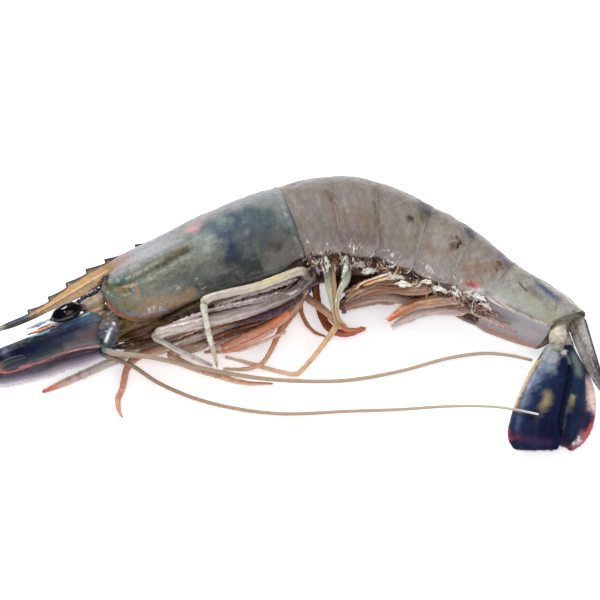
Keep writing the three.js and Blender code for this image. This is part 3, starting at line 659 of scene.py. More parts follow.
# %% Its colours
coat = Paint(flank, "#84877e")
# painted sheen: lighter grey and lavender over the back and the upper front, where the light falls
coat.over("#a4a4a8", fall(angle, 45, 88))
coat.over("#bdbbc2", 0.8 * fall(angle, 66, 90) * fall(stations, 2.2, 3.6))
coat.over("#797a5e", 0.8 * ease(angle, 86, 97) * fall(angle, 108, 122) * fall(stations, 2.8, 4.2))
coat.over("#565e60", 0.9 * ease(stations, 3.5, 4.9) * ease(angle, 66, 96))
coat.over("#94968a", 0.8 * ease(angle, 106, 114) * fall(stations, 1.6, 3.0))
coat.cloud("#5d6a66", 7.0, 0.35, ease(angle, 60, 90), 1.0)
coat.cloud("#a5a08e", 5.0, 0.35, ease(angle, 84, 100), 3.0)
coat.cloud("#77706a", 3.0, 0.30, ease(angle, 96, 120), 5.0)
coat.cloud("#9fa9a6", 2.6, 0.35, fall(angle, 60, 100), 7.0)
coat.cloud("#4e5c58", 1.7, 0.30, ease(angle, 70, 100), 11.0)
coat.cloud("#a9aca0", 1.3, 0.32, ease(angle, 60, 90), 13.0)
coat.cloud("#3c4440", 1.4, 0.40, ease(angle, 64, 90), 21.0)
coat.cloud("#5a5238", 2.4, 0.35, ease(angle, 84, 96) * fall(stations, 3.6, 4.6), 25.0)
coat.cloud("#8c7c58", 2.2, 0.30, ease(angle, 100, 120), 23.0)
print("clouds on the carapace, over", coat.points.shape[0], "rows")

# %% Marks on its flank
CARAPACE_STROKES = [  # colour, path, width, strength, softness, raggedness
    ("#667f7d", [(3.6, 62), (4.3, 66), (5, 72), (5.8, 76)], 3.2, 0.55, 1, 0.6),
    ("#48606a", [(4.4, 80), (5, 82), (5.8, 82), (6.3, 88)], 3.2, 0.7, 1, 0.6),
    ("#4a6c6c", [(4.1, 80), (4.5, 76)], 2.4, 0.6, 1, 0.6),
    ("#2f4a66", [(4.62, 86), (4.78, 96), (4.8, 108), (4.7, 118)], 2.4, 0.95, 0.9, 0.5),
    ("#2c4458", [(5.3, 84), (5.5, 90), (5.4, 100)], 2.2, 0.9, 1, 0.5),
    ("#8fa5a0", [(4.75, 68), (5, 72), (5.1, 78)], 1.3, 0.75, 1, 0.6),
    ("#a9b3ad", [(4, 84), (4.2, 92), (4, 98)], 1.8, 0.7, 1, 0.5),
    ("#3a4a60", [(5.1, 70), (5.6, 76), (5.9, 88), (5.9, 100)], 2.4, 0.75, 1, 0.6),
    ("#4a5356", [(5, 104), (5.6, 108), (6.1, 112)], 3, 0.7, 1, 0.6),
    ("#223247", [(4.7, 108), (4.6, 118)], 1.8, 0.8, 0.9, 0.6),
    ("#44625f", [(5.9, 74), (6.4, 84)], 1.8, 0.55, 1, 0.6),
    ("#2c3332", [(4.5, 122), (5, 126), (5.5, 130)], 2.2, 0.8, 0.9, 0.5),
    ("#303433", [(3.3, 130), (3.8, 134), (4.4, 137), (5.2, 138)], 2.8, 0.8, 1, 0.5),
    ("#3a3a38", [(2.9, 134), (3.4, 139), (4.2, 143), (5, 145)], 1.6, 0.75, 0.9, 0.4),
    ("#5b6262", [(2.6, 118), (3.2, 122), (3.8, 126)], 2.6, 0.6, 1, 0.5),
    ("#857a72", [(5.7, 126), (6.3, 130), (6.8, 135)], 2.4, 0.8, 0.9, 0.5),
    ("#77706c", [(6.3, 112), (6.7, 126)], 2.2, 0.6, 1, 0.5),
    ("#4a4434", [(5.9, 117), (6.2, 120)], 1.1, 0.7, 0.9, 0.6),
    ("#8a9490", [(6.1, 56), (6.6, 66), (6.8, 80), (6.85, 100)], 1.5, 0.6, 1, 0.5),
    ("#dcb4b4", [(3.78, 60), (3.92, 63)], 2.3, 0.85, 1, 0.3),
    ("#eea6a2", [(3.84, 62), (3.92, 65)], 1.2, 0.8, 1, 0.3),
    ("#c9a6a8", [(4.05, 54), (4.5, 54)], 1.5, 0.45, 1, 0.5),
    ("#cfb0a0", [(3.3, 62), (3.6, 64)], 1.5, 0.35, 1, 0.5),
    ("#4b4a2c", [(2.35, 99), (2.9, 97), (3.45, 94)], 0.85, 0.85, 1, 0.45),
    ("#3c3418", [(2.3, 101), (2.9, 99), (3.45, 96)], 0.3, 0.8, 0.7, 0.5),
    ("#7a5c30", [(2.9, 95), (3.45, 92)], 0.5, 0.7, 0.9, 0.5),
    ("#2c3428", [(0.9, 107), (1.5, 104), (2.1, 102)], 0.22, 0.75, 0.7, 0.5),
    ("#a4906c", [(1.2, 124), (1.9, 128)], 1.4, 0.5, 1, 0.5),
    ("#3c4038", [(3, 118), (3.3, 112)], 0.25, 0.6, 0.8, 0.6),
    ("#3c4038", [(3.3, 121), (3.6, 115)], 0.22, 0.5, 0.8, 0.6),
    ("#6a6d44", [(0.7, 107), (1.5, 103), (2.2, 100)], 0.5, 0.75, 0.9, 0.5),
    ("#39472e", [(1, 105), (1.6, 103)], 0.32, 0.8, 0.8, 0.5),
    ("#55583c", [(1.9, 103), (2.4, 106), (2.2, 109)], 0.3, 0.5, 0.8, 0.5),
    ("#4c5044", [(2.5, 112), (2.9, 106)], 0.22, 0.6, 0.8, 0.5),
    ("#4c5044", [(2.8, 116), (3.2, 109)], 0.22, 0.5, 0.8, 0.5),
    ("#c3c1c8", [(0.9, 92), (1.7, 88), (2.6, 82), (3.4, 76)], 1.3, 0.6, 1, 0.4),
    ("#8f8e98", [(1, 70), (2, 66), (3, 62)], 0.5, 0.35, 0.9, 0.4),
    ("#4c7480", [(0.95, 98), (1.2, 100)], 0.9, 0.8, 0.9, 0.8),
    ("#343020", [(0.55, 100), (0.62, 106), (0.5, 114)], 0.4, 0.9, 0.7, 0.8),
    ("#2f3b30", [(0.75, 101), (1.05, 104)], 0.4, 0.85, 0.7, 0.8),
    ("#4a4a2c", [(1.3, 110), (1.7, 107)], 0.35, 0.7, 0.7, 0.7),
    ("#39503c", [(1.6, 103.5), (2.1, 101.5)], 0.28, 0.8, 0.7, 0.7),
    ("#c8ccc0", [(1.3, 99), (2, 96.5), (2.6, 94)], 0.35, 0.6, 0.8, 0.6),
    ("#4a3e22", [(0.9, 102), (1.2, 103)], 0.35, 0.7, 0.8, 0.7),
    ("#6b5a30", [(1.05, 111), (1.3, 111)], 0.45, 0.6, 0.9, 0.7),
    ("#5f8d94", [(0.45, 114), (0.62, 117)], 0.8, 0.8, 0.9, 0.8),
    # painted glints: the two pale blue-white dots by the eye socket
    ("#b4d0cf", [(0.95, 97), (1.05, 99)], 0.4, 0.7, 0.8, 0.8),
    ("#bcd6d6", [(0.5, 113), (0.58, 114)], 0.3, 0.7, 0.8, 0.8),
    ("#7b7426", [(0.55, 106), (0.75, 112), (1.05, 117)], 0.5, 0.7, 0.9, 0.6),
    ("#8b7a30", [(0.8, 107), (1.1, 109)], 0.4, 0.7, 0.9, 0.6),
    ("#c9925a", [(0.95, 107), (1.25, 105), (1.5, 108), (1.55, 114), (1.4, 119)], 0.36, 0.75, 0.9, 0.45),
    ("#8a6a45", [(0.4, 110), (0.6, 106)], 0.5, 0.7, 0.9, 0.5),
    ("#a39770", [(0.9, 113), (1.2, 114)], 0.5, 0.6, 0.9, 0.5),
    ("#8b7a55", [(0.4, 124), (0.9, 128), (1.4, 133)], 1.5, 0.6, 1, 0.5),
    ("#a98a63", [(1.7, 130), (2.4, 133), (3.1, 136)], 1.6, 0.7, 1, 0.5),
    ("#a87a4e", [(1.4, 136), (2, 139), (2.8, 142)], 1.1, 0.6, 1, 0.5),
    ("#5f4018", [(2, 144), (2.7, 146), (3.6, 146)], 0.9, 0.9, 0.8, 0.5),
    ("#8f8698", [(0.4, 134), (0.9, 138), (1.5, 139), (2.2, 141)], 0.55, 0.75, 0.8, 0.3),
    ("#96512f", [(0.35, 126), (0.45, 136), (0.8, 143), (1.3, 144), (1.9, 143)], 0.65, 0.9, 0.8, 0.3),
    ("#c98c72", [(0.34, 128), (0.42, 137), (0.75, 142)], 0.22, 0.7, 0.7, 0.3),
    ("#3b2412", [(1.3, 146), (2.1, 146), (3, 146)], 0.6, 0.8, 0.7, 0.5),
    # painted highlight: a pale line of glints along the rear rim
    ("#c9c6c2", [(6.93, 58), (6.95, 90), (6.97, 120), (7, 142)], 0.3, 0.5, 0.8, 0.6),
    ("#33463f", [(6.5, 47), (6.85, 51), (6.93, 58)], 0.4, 0.6, 0.8, 0.5),
]
coat.strokes(CARAPACE_STROKES, on_shell)
front_gap = stations - np.interp(angle, *zip(*FRONT_EDGE))
coat.over("#b88c48", 0.9 * fall(stations, 0.9, 1.5) * fall(angle, 68, 82))
coat.over("#b5937c", 0.6 * ease(stations, 0.9, 1.4) * fall(stations, 1.5, 2.1) * fall(angle, 66, 84))
coat.over("#46404a", 0.9 * fall(angle, 6, 15) * fall(stations, 3.4, 5.0))
# painted shade in the notch of the eye socket
coat.over("#23242a", near(front_gap, 0.1, 0.04, 0.14) * ease(angle, 84, 88) * fall(angle, 94, 98))
coat.over("#7b5a4c", ease(angle, 147, 152))
coat.rgb[:4] = colour("#4a3028")
carapace = Piece("head_shell")
carapace.tube(points, coat.rgb, 0.22 + 0.4 * ease(angle, 88, 140))
print("strokes on the carapace:", len(CARAPACE_STROKES))

# %% [markdown]
# The rostrum is a flat blade, so it is a tube of its own: rows of a tall, thin section along the head's
# line. Each tooth of its crest leans forward, with a long slope behind its tip and a short one before it.
# Its side is translucent orange, with a pale band along the lower edge and a grey tip.

# %% The rostrum
HEAD_ORIGIN = np.array([-4.9, 2.14, 10.3])
ROSTRUM = [  # ahead of the carapace's rear, height of the upper and of the lower edge
    (30, 9.4, 6), (38.3, 9.2, 4.5), (47, 7.9, 2.2), (52.4, 6.8, 0.8), (58.4, 4.8, -0.4), (63.8, 2.5, -1),
    (69.7, 0.8, -1.9), (75.5, 0.2, -2.3), (81.5, -0.6, -1.9), (86, -1.6, -2.3),
]
TEETH = [38.3, 47, 52.4, 58.4, 63.8, 69.7]
TOOTH_LENGTH, TOOTH_HEIGHT = 5.0, 1.15
ROSTRUM_HALF = (1.8, 0.35)


def head_point(ahead, back, left):
    """A point in the head's own frame."""
    x = HEAD_ORIGIN[0] - ahead * math.cos(HEAD_HEADING) - back * math.sin(HEAD_HEADING)
    y = HEAD_ORIGIN[1] - ahead * math.sin(HEAD_HEADING) + back * math.cos(HEAD_HEADING)
    return np.stack(np.broadcast_arrays(x, y, HEAD_ORIGIN[2] + left), -1)


ahead = np.arange(30, 86.01, 0.3)
table = np.array(ROSTRUM)
row = np.interp(ahead, table[:, 0], np.arange(len(table)))
top, low = smooth(table[:, 1], row) - 0.55, smooth(table[:, 2], row)
tooth = np.zeros(ahead.shape)
for tip in TEETH:
    rising = np.clip((ahead - (tip - TOOTH_LENGTH)) / TOOTH_LENGTH, 0, 1) ** 1.7 * (ahead <= tip)
    falling = np.clip(1 - (ahead - tip) / 0.7, 0, 1) * (ahead > tip)
    tooth = np.maximum(tooth, rising + falling)
half = np.interp(ahead, (30, 86), ROSTRUM_HALF)
turn = np.linspace(0, 2 * math.pi, 32, endpoint=False)[None]
rib = 0.5 + 0.5 * np.exp(-(((np.cos(turn) + 0.25) / 0.4) ** 2))
height = (top + low)[:, None] / 2 + (top - low)[:, None] / 2 * np.cos(turn)
crest = np.clip(np.cos(turn), 0, 1) ** 6
height = height + tooth[:, None] * TOOTH_HEIGHT * crest
blade = head_point(ahead[:, None] + tooth[:, None] * 0.6 * crest, height, half[:, None] * np.sin(turn) * rib)
level = (height - low[:, None]) / (top - low)[:, None]
far = np.broadcast_to(ahead[:, None], level.shape)
coat = Paint(blade, "#a7a0a6")
coat.over("#d9a052", ease(far, 44, 49) * fall(far, 68.5, 71))
coat.over("#efc07c", 0.6 * near(level, 0.6, 0.05, 0.2) * ease(far, 48, 52) * fall(far, 66, 70))
coat.over("#cfa26c", 0.7 * ease(far, 44, 48) * fall(far, 50, 55))
# the pale peach of the lower edge is the blade's own colour, partly painted lighter to offset the shade under
# the blade
coat.over("#f2d6bd", ease(far, 49, 53) * fall(far, 66, 70) * fall(level, 0.16, 0.26))
coat.over("#ffdcb2", 0.8 * ease(far, 47, 52) * fall(far, 66, 69.5) * fall(level, 0.36, 0.52))
dark_line = ease(far, 51, 54) * fall(far, 66, 69)
coat.over("#6a4a32", 0.5 * dark_line * ease(level, 0.22, 0.27) * fall(level, 0.30, 0.36))
coat.over("#2b2a31", 0.8 * near(far, 52, 1.2, 2.6) * fall(level, 0.02, 0.12))
coat.over("#3f454d", ease(far, 69, 71.5))
coat.over("#d6d6bb", ease(far, 76, 79))
coat.over("#4a4149", ease(level, 0.76, 0.92) * ease(far, 36, 42) * fall(far, 72, 76))
coat.over("#2e2a30", ease(tooth[:, None], 0.08, 0.5) * ease(level, 0.8, 0.95))
coat.over("#a87c48", 0.12 * ease(far, 47, 50) * fall(far, 68, 71))
coat.over("#5d6166", 0.7 * ease(far, 65.5, 68.5) * fall(far, 71, 74) * ease(ripple(blade, 2.4), -0.6, 0.4))
coat.over("#34302e", 0.85 * ease(level, 0.84, 0.95) * ease(far, 40, 44) * fall(far, 69, 72))
coat.cloud("#a8743c", 1.6, 0.30, ease(far, 46, 50) * fall(far, 66, 70), 4.0)
carapace.tube(blade, coat.rgb, 0.4)
head_finish = wet_finish("wet_head_shell", level=0.68, mottle=0.24, mottle_size=1.3, specks=0.35, glow=0.06,
                         dry=0.5, coat=0.5).material
carapace.make(head_finish, "shell", "carapace")

# %% [markdown]
# ## The rings of the abdomen
#
# Each ring spreads towards its rear edge, where it stands over the front of the next one, and its lower
# edge is rounded off at both ends. Narrow dark lines follow the rear edges, and each ring has a dark patch
# high on its back, which is where the bands of a tiger prawn start. The last ring is long, deep and narrow.

# %% One ring
RING_ROWS = 64
REAR_FLARE, RING_ARCH, PLEURA_LIFT = 0.008, 0.02, 0.10
LAP = 0.6


def ring_skin(index):
    """The skin of one ring of the abdomen, with its places on the body."""
    start = FIRST_RING + index
    first, second = np.array(STATIONS[start][:2]), np.array(STATIONS[start + 1][:2])
    length = float(np.linalg.norm(second - first))
    last = index == RINGS - 1
    t = np.linspace(0, 1 if last else 1 + LAP / length, RING_ROWS * (2 if last else 1))
    inside = np.minimum(t, 1)
    swell = 1 + REAR_FLARE * (t - 0.5) + RING_ARCH * 4 * inside * (1 - inside)
    lift = PLEURA_LIFT * np.abs(2 * inside - 1) ** 2.5
    t = np.r_[t[0] + 0.05, t, t[-1] - 0.4 / length, t[-1] - 2 / length]
    swell = np.r_[0.9, swell, swell[-1] - 0.02, swell[-1] - 0.16]
    lift = np.r_[lift[0], lift, lift[-1] + 0.01, lift[-1] + 0.1]
    stations = np.repeat((start + t)[:, None], OVER_BACK, 1)
    ridge = TAIL_RIDGE * np.sin(math.pi * np.clip(stations[:, 0] - start, 0, 1) ** 1.2) if last else 0.0
    points, stations, degrees = shell_skin(stations, swell, lift, ridge, 0.8 if last else BELLY_RISE)
    return points, stations, degrees, length


print("rows in a ring:", RING_ROWS)

# %% [markdown]
# The shell of a ring is clear, and what shows is the flesh under it: warm grey with brown bands and faint
# fibres, with a painted sheen of lighter grey over the back. Broad clouds of colour come first, then the
# marks that belong to one place, such as the blue patches high on the back and the white, torn rim of the
# last ring, whose white lines are partly painted glints of its wet edge. One function paints any ring.

# %% Colours of the rings
LAST_STROKES = [  # the last ring's lower rim and its ridge
    # the white lines are partly the rim's own pale colour and partly painted glints of its wet edge
    ("#fffaf2", [(12.02, 133), (12.2, 138), (12.45, 142), (12.74, 145), (12.92, 138)], 0.42, 1, 0.6, 0.2),
    ("#8d7c74", [(12.1, 129), (12.4, 136), (12.7, 139)], 0.3, 0.6, 0.8, 0.4),
    ("#fdf4ea", [(12.1, 127), (12.35, 132), (12.5, 136)], 0.28, 0.8, 0.7, 0.3),
    ("#2b242b", [(12.1, 12), (12.4, 14), (12.7, 16), (13, 20)], 0.8, 0.9, 0.7, 0.3),
    ("#f0e4e0", [(12.15, 28), (12.4, 29), (12.7, 30), (12.95, 33)], 0.3, 0.8, 0.7, 0.3),
]
RING_STROKES = [  # colour, path, width, strength, softness, raggedness
    ("#5c6a62", [(7.05, 44), (7.3, 40), (7.5, 36)], 0.7, 0.45, 0.9, 0.4),
    ("#6f6760", [(7.25, 48), (7.5, 80), (7.7, 112)], 0.6, 0.5, 0.9, 0.4),
    ("#5f503f", [(7.92, 68), (7.95, 80)], 0.8, 0.7, 0.8, 0.4),
    ("#7d5a45", [(7.97, 78), (8, 100), (8, 118)], 0.75, 0.6, 0.9, 0.4),
    ("#87705c", [(8.15, 96), (8.6, 98), (8.95, 98)], 2.4, 0.65, 1, 0.4),
    ("#7d6763", [(7.9, 126), (8.4, 126), (8.8, 124)], 2.4, 0.6, 1, 0.4),
    ("#55523f", [(8.95, 78), (9.02, 92)], 0.6, 0.75, 0.8, 0.4),
    ("#7c6150", [(9, 92), (9.06, 110), (9.1, 124)], 0.7, 0.55, 0.9, 0.4),
    ("#6d5c63", [(8.85, 38), (8.95, 50), (9, 62)], 0.9, 0.5, 0.9, 0.4),
    ("#8c7f6a", [(9.5, 108), (9.7, 112)], 1.8, 0.45, 1, 0.5),
    ("#44435a", [(9.8, 38), (9.9, 46), (9.98, 56)], 1.9, 0.95, 0.9, 0.4),
    ("#56573a", [(9.9, 58), (9.93, 74)], 1.4, 0.8, 0.9, 0.4),
    ("#4a4028", [(9.7, 78), (9.76, 82)], 0.9, 0.95, 0.8, 0.6),
    ("#77735f", [(9.9, 78), (9.95, 100), (9.97, 122)], 0.8, 0.5, 0.9, 0.4),
    ("#3d3d5a", [(10.8, 38), (10.9, 46), (10.98, 54)], 1.6, 1, 0.9, 0.4),
    ("#54442c", [(10.72, 74), (10.84, 80), (10.74, 88)], 0.95, 1, 0.8, 0.7),
    ("#241a12", [(10.86, 78), (10.84, 86)], 0.5, 1, 0.6, 0.7),
    ("#957a68", [(10.1, 104), (10.4, 106), (10.7, 104)], 1.5, 0.55, 0.9, 0.5),
    ("#807c77", [(10.92, 90), (10.95, 124)], 0.6, 0.5, 0.9, 0.4),
    ("#7b6a80", [(11.7, 42), (11.9, 48), (11.98, 56)], 1.7, 0.85, 0.9, 0.4),
    ("#2c1d14", [(11.86, 66), (11.95, 72), (11.9, 80)], 0.62, 1, 0.7, 0.8),
    ("#96724f", [(11.95, 74), (11.7, 90), (11.3, 108)], 1.7, 0.75, 1, 0.5),
    ("#c5c0b6", [(11.98, 80), (12, 128)], 0.5, 0.5, 0.9, 0.3),
    ("#b5b6aa", [(12.1, 110), (12.4, 114), (12.7, 116)], 2.6, 0.75, 1, 0.3),
    ("#b9ae8e", [(12.5, 100), (12.8, 104), (12.95, 110)], 1.8, 0.6, 0.9, 0.4),
    ("#b9a9ac", [(12.7, 44), (12.86, 62)], 2.2, 0.7, 1, 0.3),
    ("#5c5344", [(12.98, 60), (12.99, 90), (12.98, 115)], 0.45, 0.85, 0.8, 0.3),
    ("#5b6684", [(12.42, 52), (12.58, 55), (12.74, 58)], 1.5, 0.85, 1, 0.35),
    ("#46588a", [(12.5, 54), (12.64, 57)], 0.8, 0.7, 0.9, 0.5),
    ("#6f7a6c", [(12.45, 76), (12.6, 80)], 1.3, 0.6, 0.9, 0.5),
    ("#3a3524", [(12.3, 78), (12.42, 84)], 0.38, 0.9, 0.7, 0.3),
    ("#2b242b", [(12.1, 0), (12.4, 0), (12.7, 0), (13, 0)], 1, 1, 0.6, 0.2),
    ("#f0e4e0", [(12.15, 27), (12.4, 26), (12.7, 26), (12.95, 28)], 0.35, 0.9, 0.7, 0.2),
    ("#4a4048", [(12.3, 33), (12.7, 33), (12.95, 35)], 0.25, 0.6, 0.7, 0.3),
    ("#d07a60", [(11.45, 127), (11.6, 124), (11.76, 129)], 1.35, 0.85, 0.8, 0.6),
    ("#b03422", [(11.5, 128), (11.6, 126), (11.74, 129.5)], 0.7, 1, 0.5, 0.7),
    ("#7c1c12", [(11.53, 127), (11.62, 126.5)], 0.32, 0.9, 0.5, 0.8),
    ("#e8c4b8", [(11.4, 134), (11.7, 134), (11.95, 136)], 0.8, 0.8, 0.9, 0.5),
    # painted highlights: a white line over the pale rim and a white spot for the glints of the wet edge
    ("#fffaf2", [(11.9, 135), (12.2, 136), (12.5, 136), (12.75, 134), (12.93, 132)], 0.55, 1, 0.6, 0.2),
    ("#ffffff", [(11.75, 131), (11.95, 132), (12.15, 133)], 1, 0.85, 0.9, 0.6),
    ("#8a7c70", [(12.15, 131), (12.5, 130), (12.8, 128)], 0.35, 0.6, 0.9, 0.4),
    ("#e8e0d4", [(12.1, 125), (12.35, 125)], 0.6, 0.7, 0.9, 0.5),
    ("#bcc0b8", [(12, 118), (12.4, 112), (12.7, 108)], 2.2, 0.6, 1, 0.3),
]
print("marks on the rings:", len(RING_STROKES) + len(LAST_STROKES))

# %% Paint one ring
def paint_ring(index, points, stations, degrees, length):
    """Warm grey with brown bands, darker where the next ring slides under, with a painted sheen over the back
    and a painted light band along the rear edges.
    """
    angle = np.abs(degrees)
    coat = Paint(left_side(points, stations), "#938b83")
    # painted sheen: lighter grey over the back, where the light from above falls
    coat.over("#a5a3a2", 0.8 * fall(angle, 30, 62))
    coat.over("#857c72", 0.7 * fall(stations, 7.6, 8.6) * ease(angle, 50, 90))
    coat.over("#7f6b62", 0.6 * near(stations, 8.6, 0.4, 0.9) * ease(angle, 84, 118))
    coat.over("#b5aba2", 0.85 * ease(stations, 9.3, 10.6) * ease(angle, 40, 96))
    coat.over("#bbb9ae", 0.9 * ease(stations, 11.9, 12.3))
    fibres = np.sin((stations - FIRST_RING - index) * length * 2.3 + 1.8 * ripple(coat.points, 9.0))
    coat.over("#c2bcb8", 0.13 * ease(fibres, 0.1, 1.0) * ease(angle, 34, 76))
    coat.over("#6f635c", 0.12 * ease(-fibres, 0.2, 1.0) * ease(angle, 34, 76))
    upper = fall(angle, 110, 135)
    coat.cloud("#846448", 5.0, 0.50, upper, 1.0 + index)
    coat.cloud("#85876c", 4.0, 0.45, upper, 3.0 + index)
    coat.cloud("#8e7380", 4.5, 0.42, 1.0, 5.0 + index)
    coat.cloud("#b0a9a2", 2.4, 0.30, 1.0, 7.0 + index)
    coat.cloud("#6a625c", 1.6, 0.25, upper, 9.0 + index)
    middle = FIRST_RING + index + 0.5
    close = [row for row in RING_STROKES if max(abs(place - middle) for place, _ in row[1]) < 1.3]
    coat.strokes(close, on_shell)
    from_rear = (FIRST_RING + index + 1 - stations) * length
    patchy = 0.5 + 0.5 * ripple(coat.points, 5.0, index)
    if index < RINGS - 1:
        to_edge = from_rear + LAP
        coat.over("#6d5c4c", 0.3 * patchy * near(to_edge, 0.5, 0.1, 1.2) * fall(angle, 96, 120))
        # painted light: a pale band at the rear edge that offsets the shade of the step to the next ring
        coat.over("#cfc8c0", 0.35 * (1 - patchy) * near(to_edge, 0.2, 0.1, 0.6) * ease(angle, 70, 100))
    coat.over("#6d655f", 0.25 * fall((stations - FIRST_RING - index) * length, 0.8, 2.4))
    coat.over("#a89a98", 0.5 * ease(angle, 118, 140))
    coat.cloud("#7d6a74", 2.2, 0.5, ease(angle, 116, 136), 15.0 + index)
    coat.cloud("#d2c8bc", 1.4, 0.5, ease(angle, 128, 140), 17.0 + index)
    if index < RINGS - 1:
        coat.over("#6e5346", ease(angle, 147, 153))
    else:
        coat.strokes(LAST_STROKES, on_shell)
        coat.over("#b9b1b6", ease(angle, 147, 153))
        across = (smooth(STATIONS, stations)[..., 2] - points[..., 2]) / smooth(STATIONS, stations)[..., 6]
        coat.over("#cf9f8c", ease(angle, 146, 150) * ease(across, 0.45, 0.65))
        coat.over("#c9c4c6", 0.5 * ease(angle, 146, 150) * near(across, 0.1, 0.1, 0.4))
    return coat


print("one painter for", RINGS, "rings")

# %% Make the rings
shell_finish = wet_finish("wet_shell", level=0.72, mottle=0.13, mottle_size=1.2, pits=0.03, dry=0.5,
                          coat=0.5).material
for index in range(RINGS):
    points, stations, degrees, length = ring_skin(index)
    flank = left_side(points, stations)
    angle = np.abs(degrees)
    relief = 0.10 * coarse_ripple(flank, 6.0, index) + 0.025 * coarse_ripple(flank, 1.6, index)
    along = stations - FIRST_RING - index
    relief -= 0.05 * near(along * length, 2.6, 0.2, 0.9) * ease(angle, 20, 60) * (angle < 140)
    relief += 0.14 * near((EDGE_ANGLE - angle) * 0.22, 0.5, 0.2, 0.7) * (angle <= EDGE_ANGLE)
    if index == RINGS - 1:
        relief -= 0.25 * fall(distance_to(flank, on_shell((12.3, 78), (12.45, 85))), 0, 0.8)
    relief[:1], relief[-2:] = 0, 0
    points = points + outward(points) * relief[..., None]
    ring = Piece(f"ring_{index + 1}")
    coat = paint_ring(index, points, stations, degrees, length)
    ring.tube(points, coat.rgb, 0.34 + 0.6 * ease(angle, 112, 138))
    ring.make(shell_finish, "shell", f"abdomen_{index + 1}")

# %% [markdown]
# ## Limbs
#
# A limb is a sweep: a centre line, two half widths that change along it, and the way its broad side lies.
# The table holds the same numbers as the solids. A limb without a thickness is round, and one without a
# side across has it upright. A place on a limb is its step along the centre line and an angle round it, so
# blades are painted in those numbers. The eye, its stalk and the antennule of the right side are the left
# ones again, mirrored about the body's middle plane.

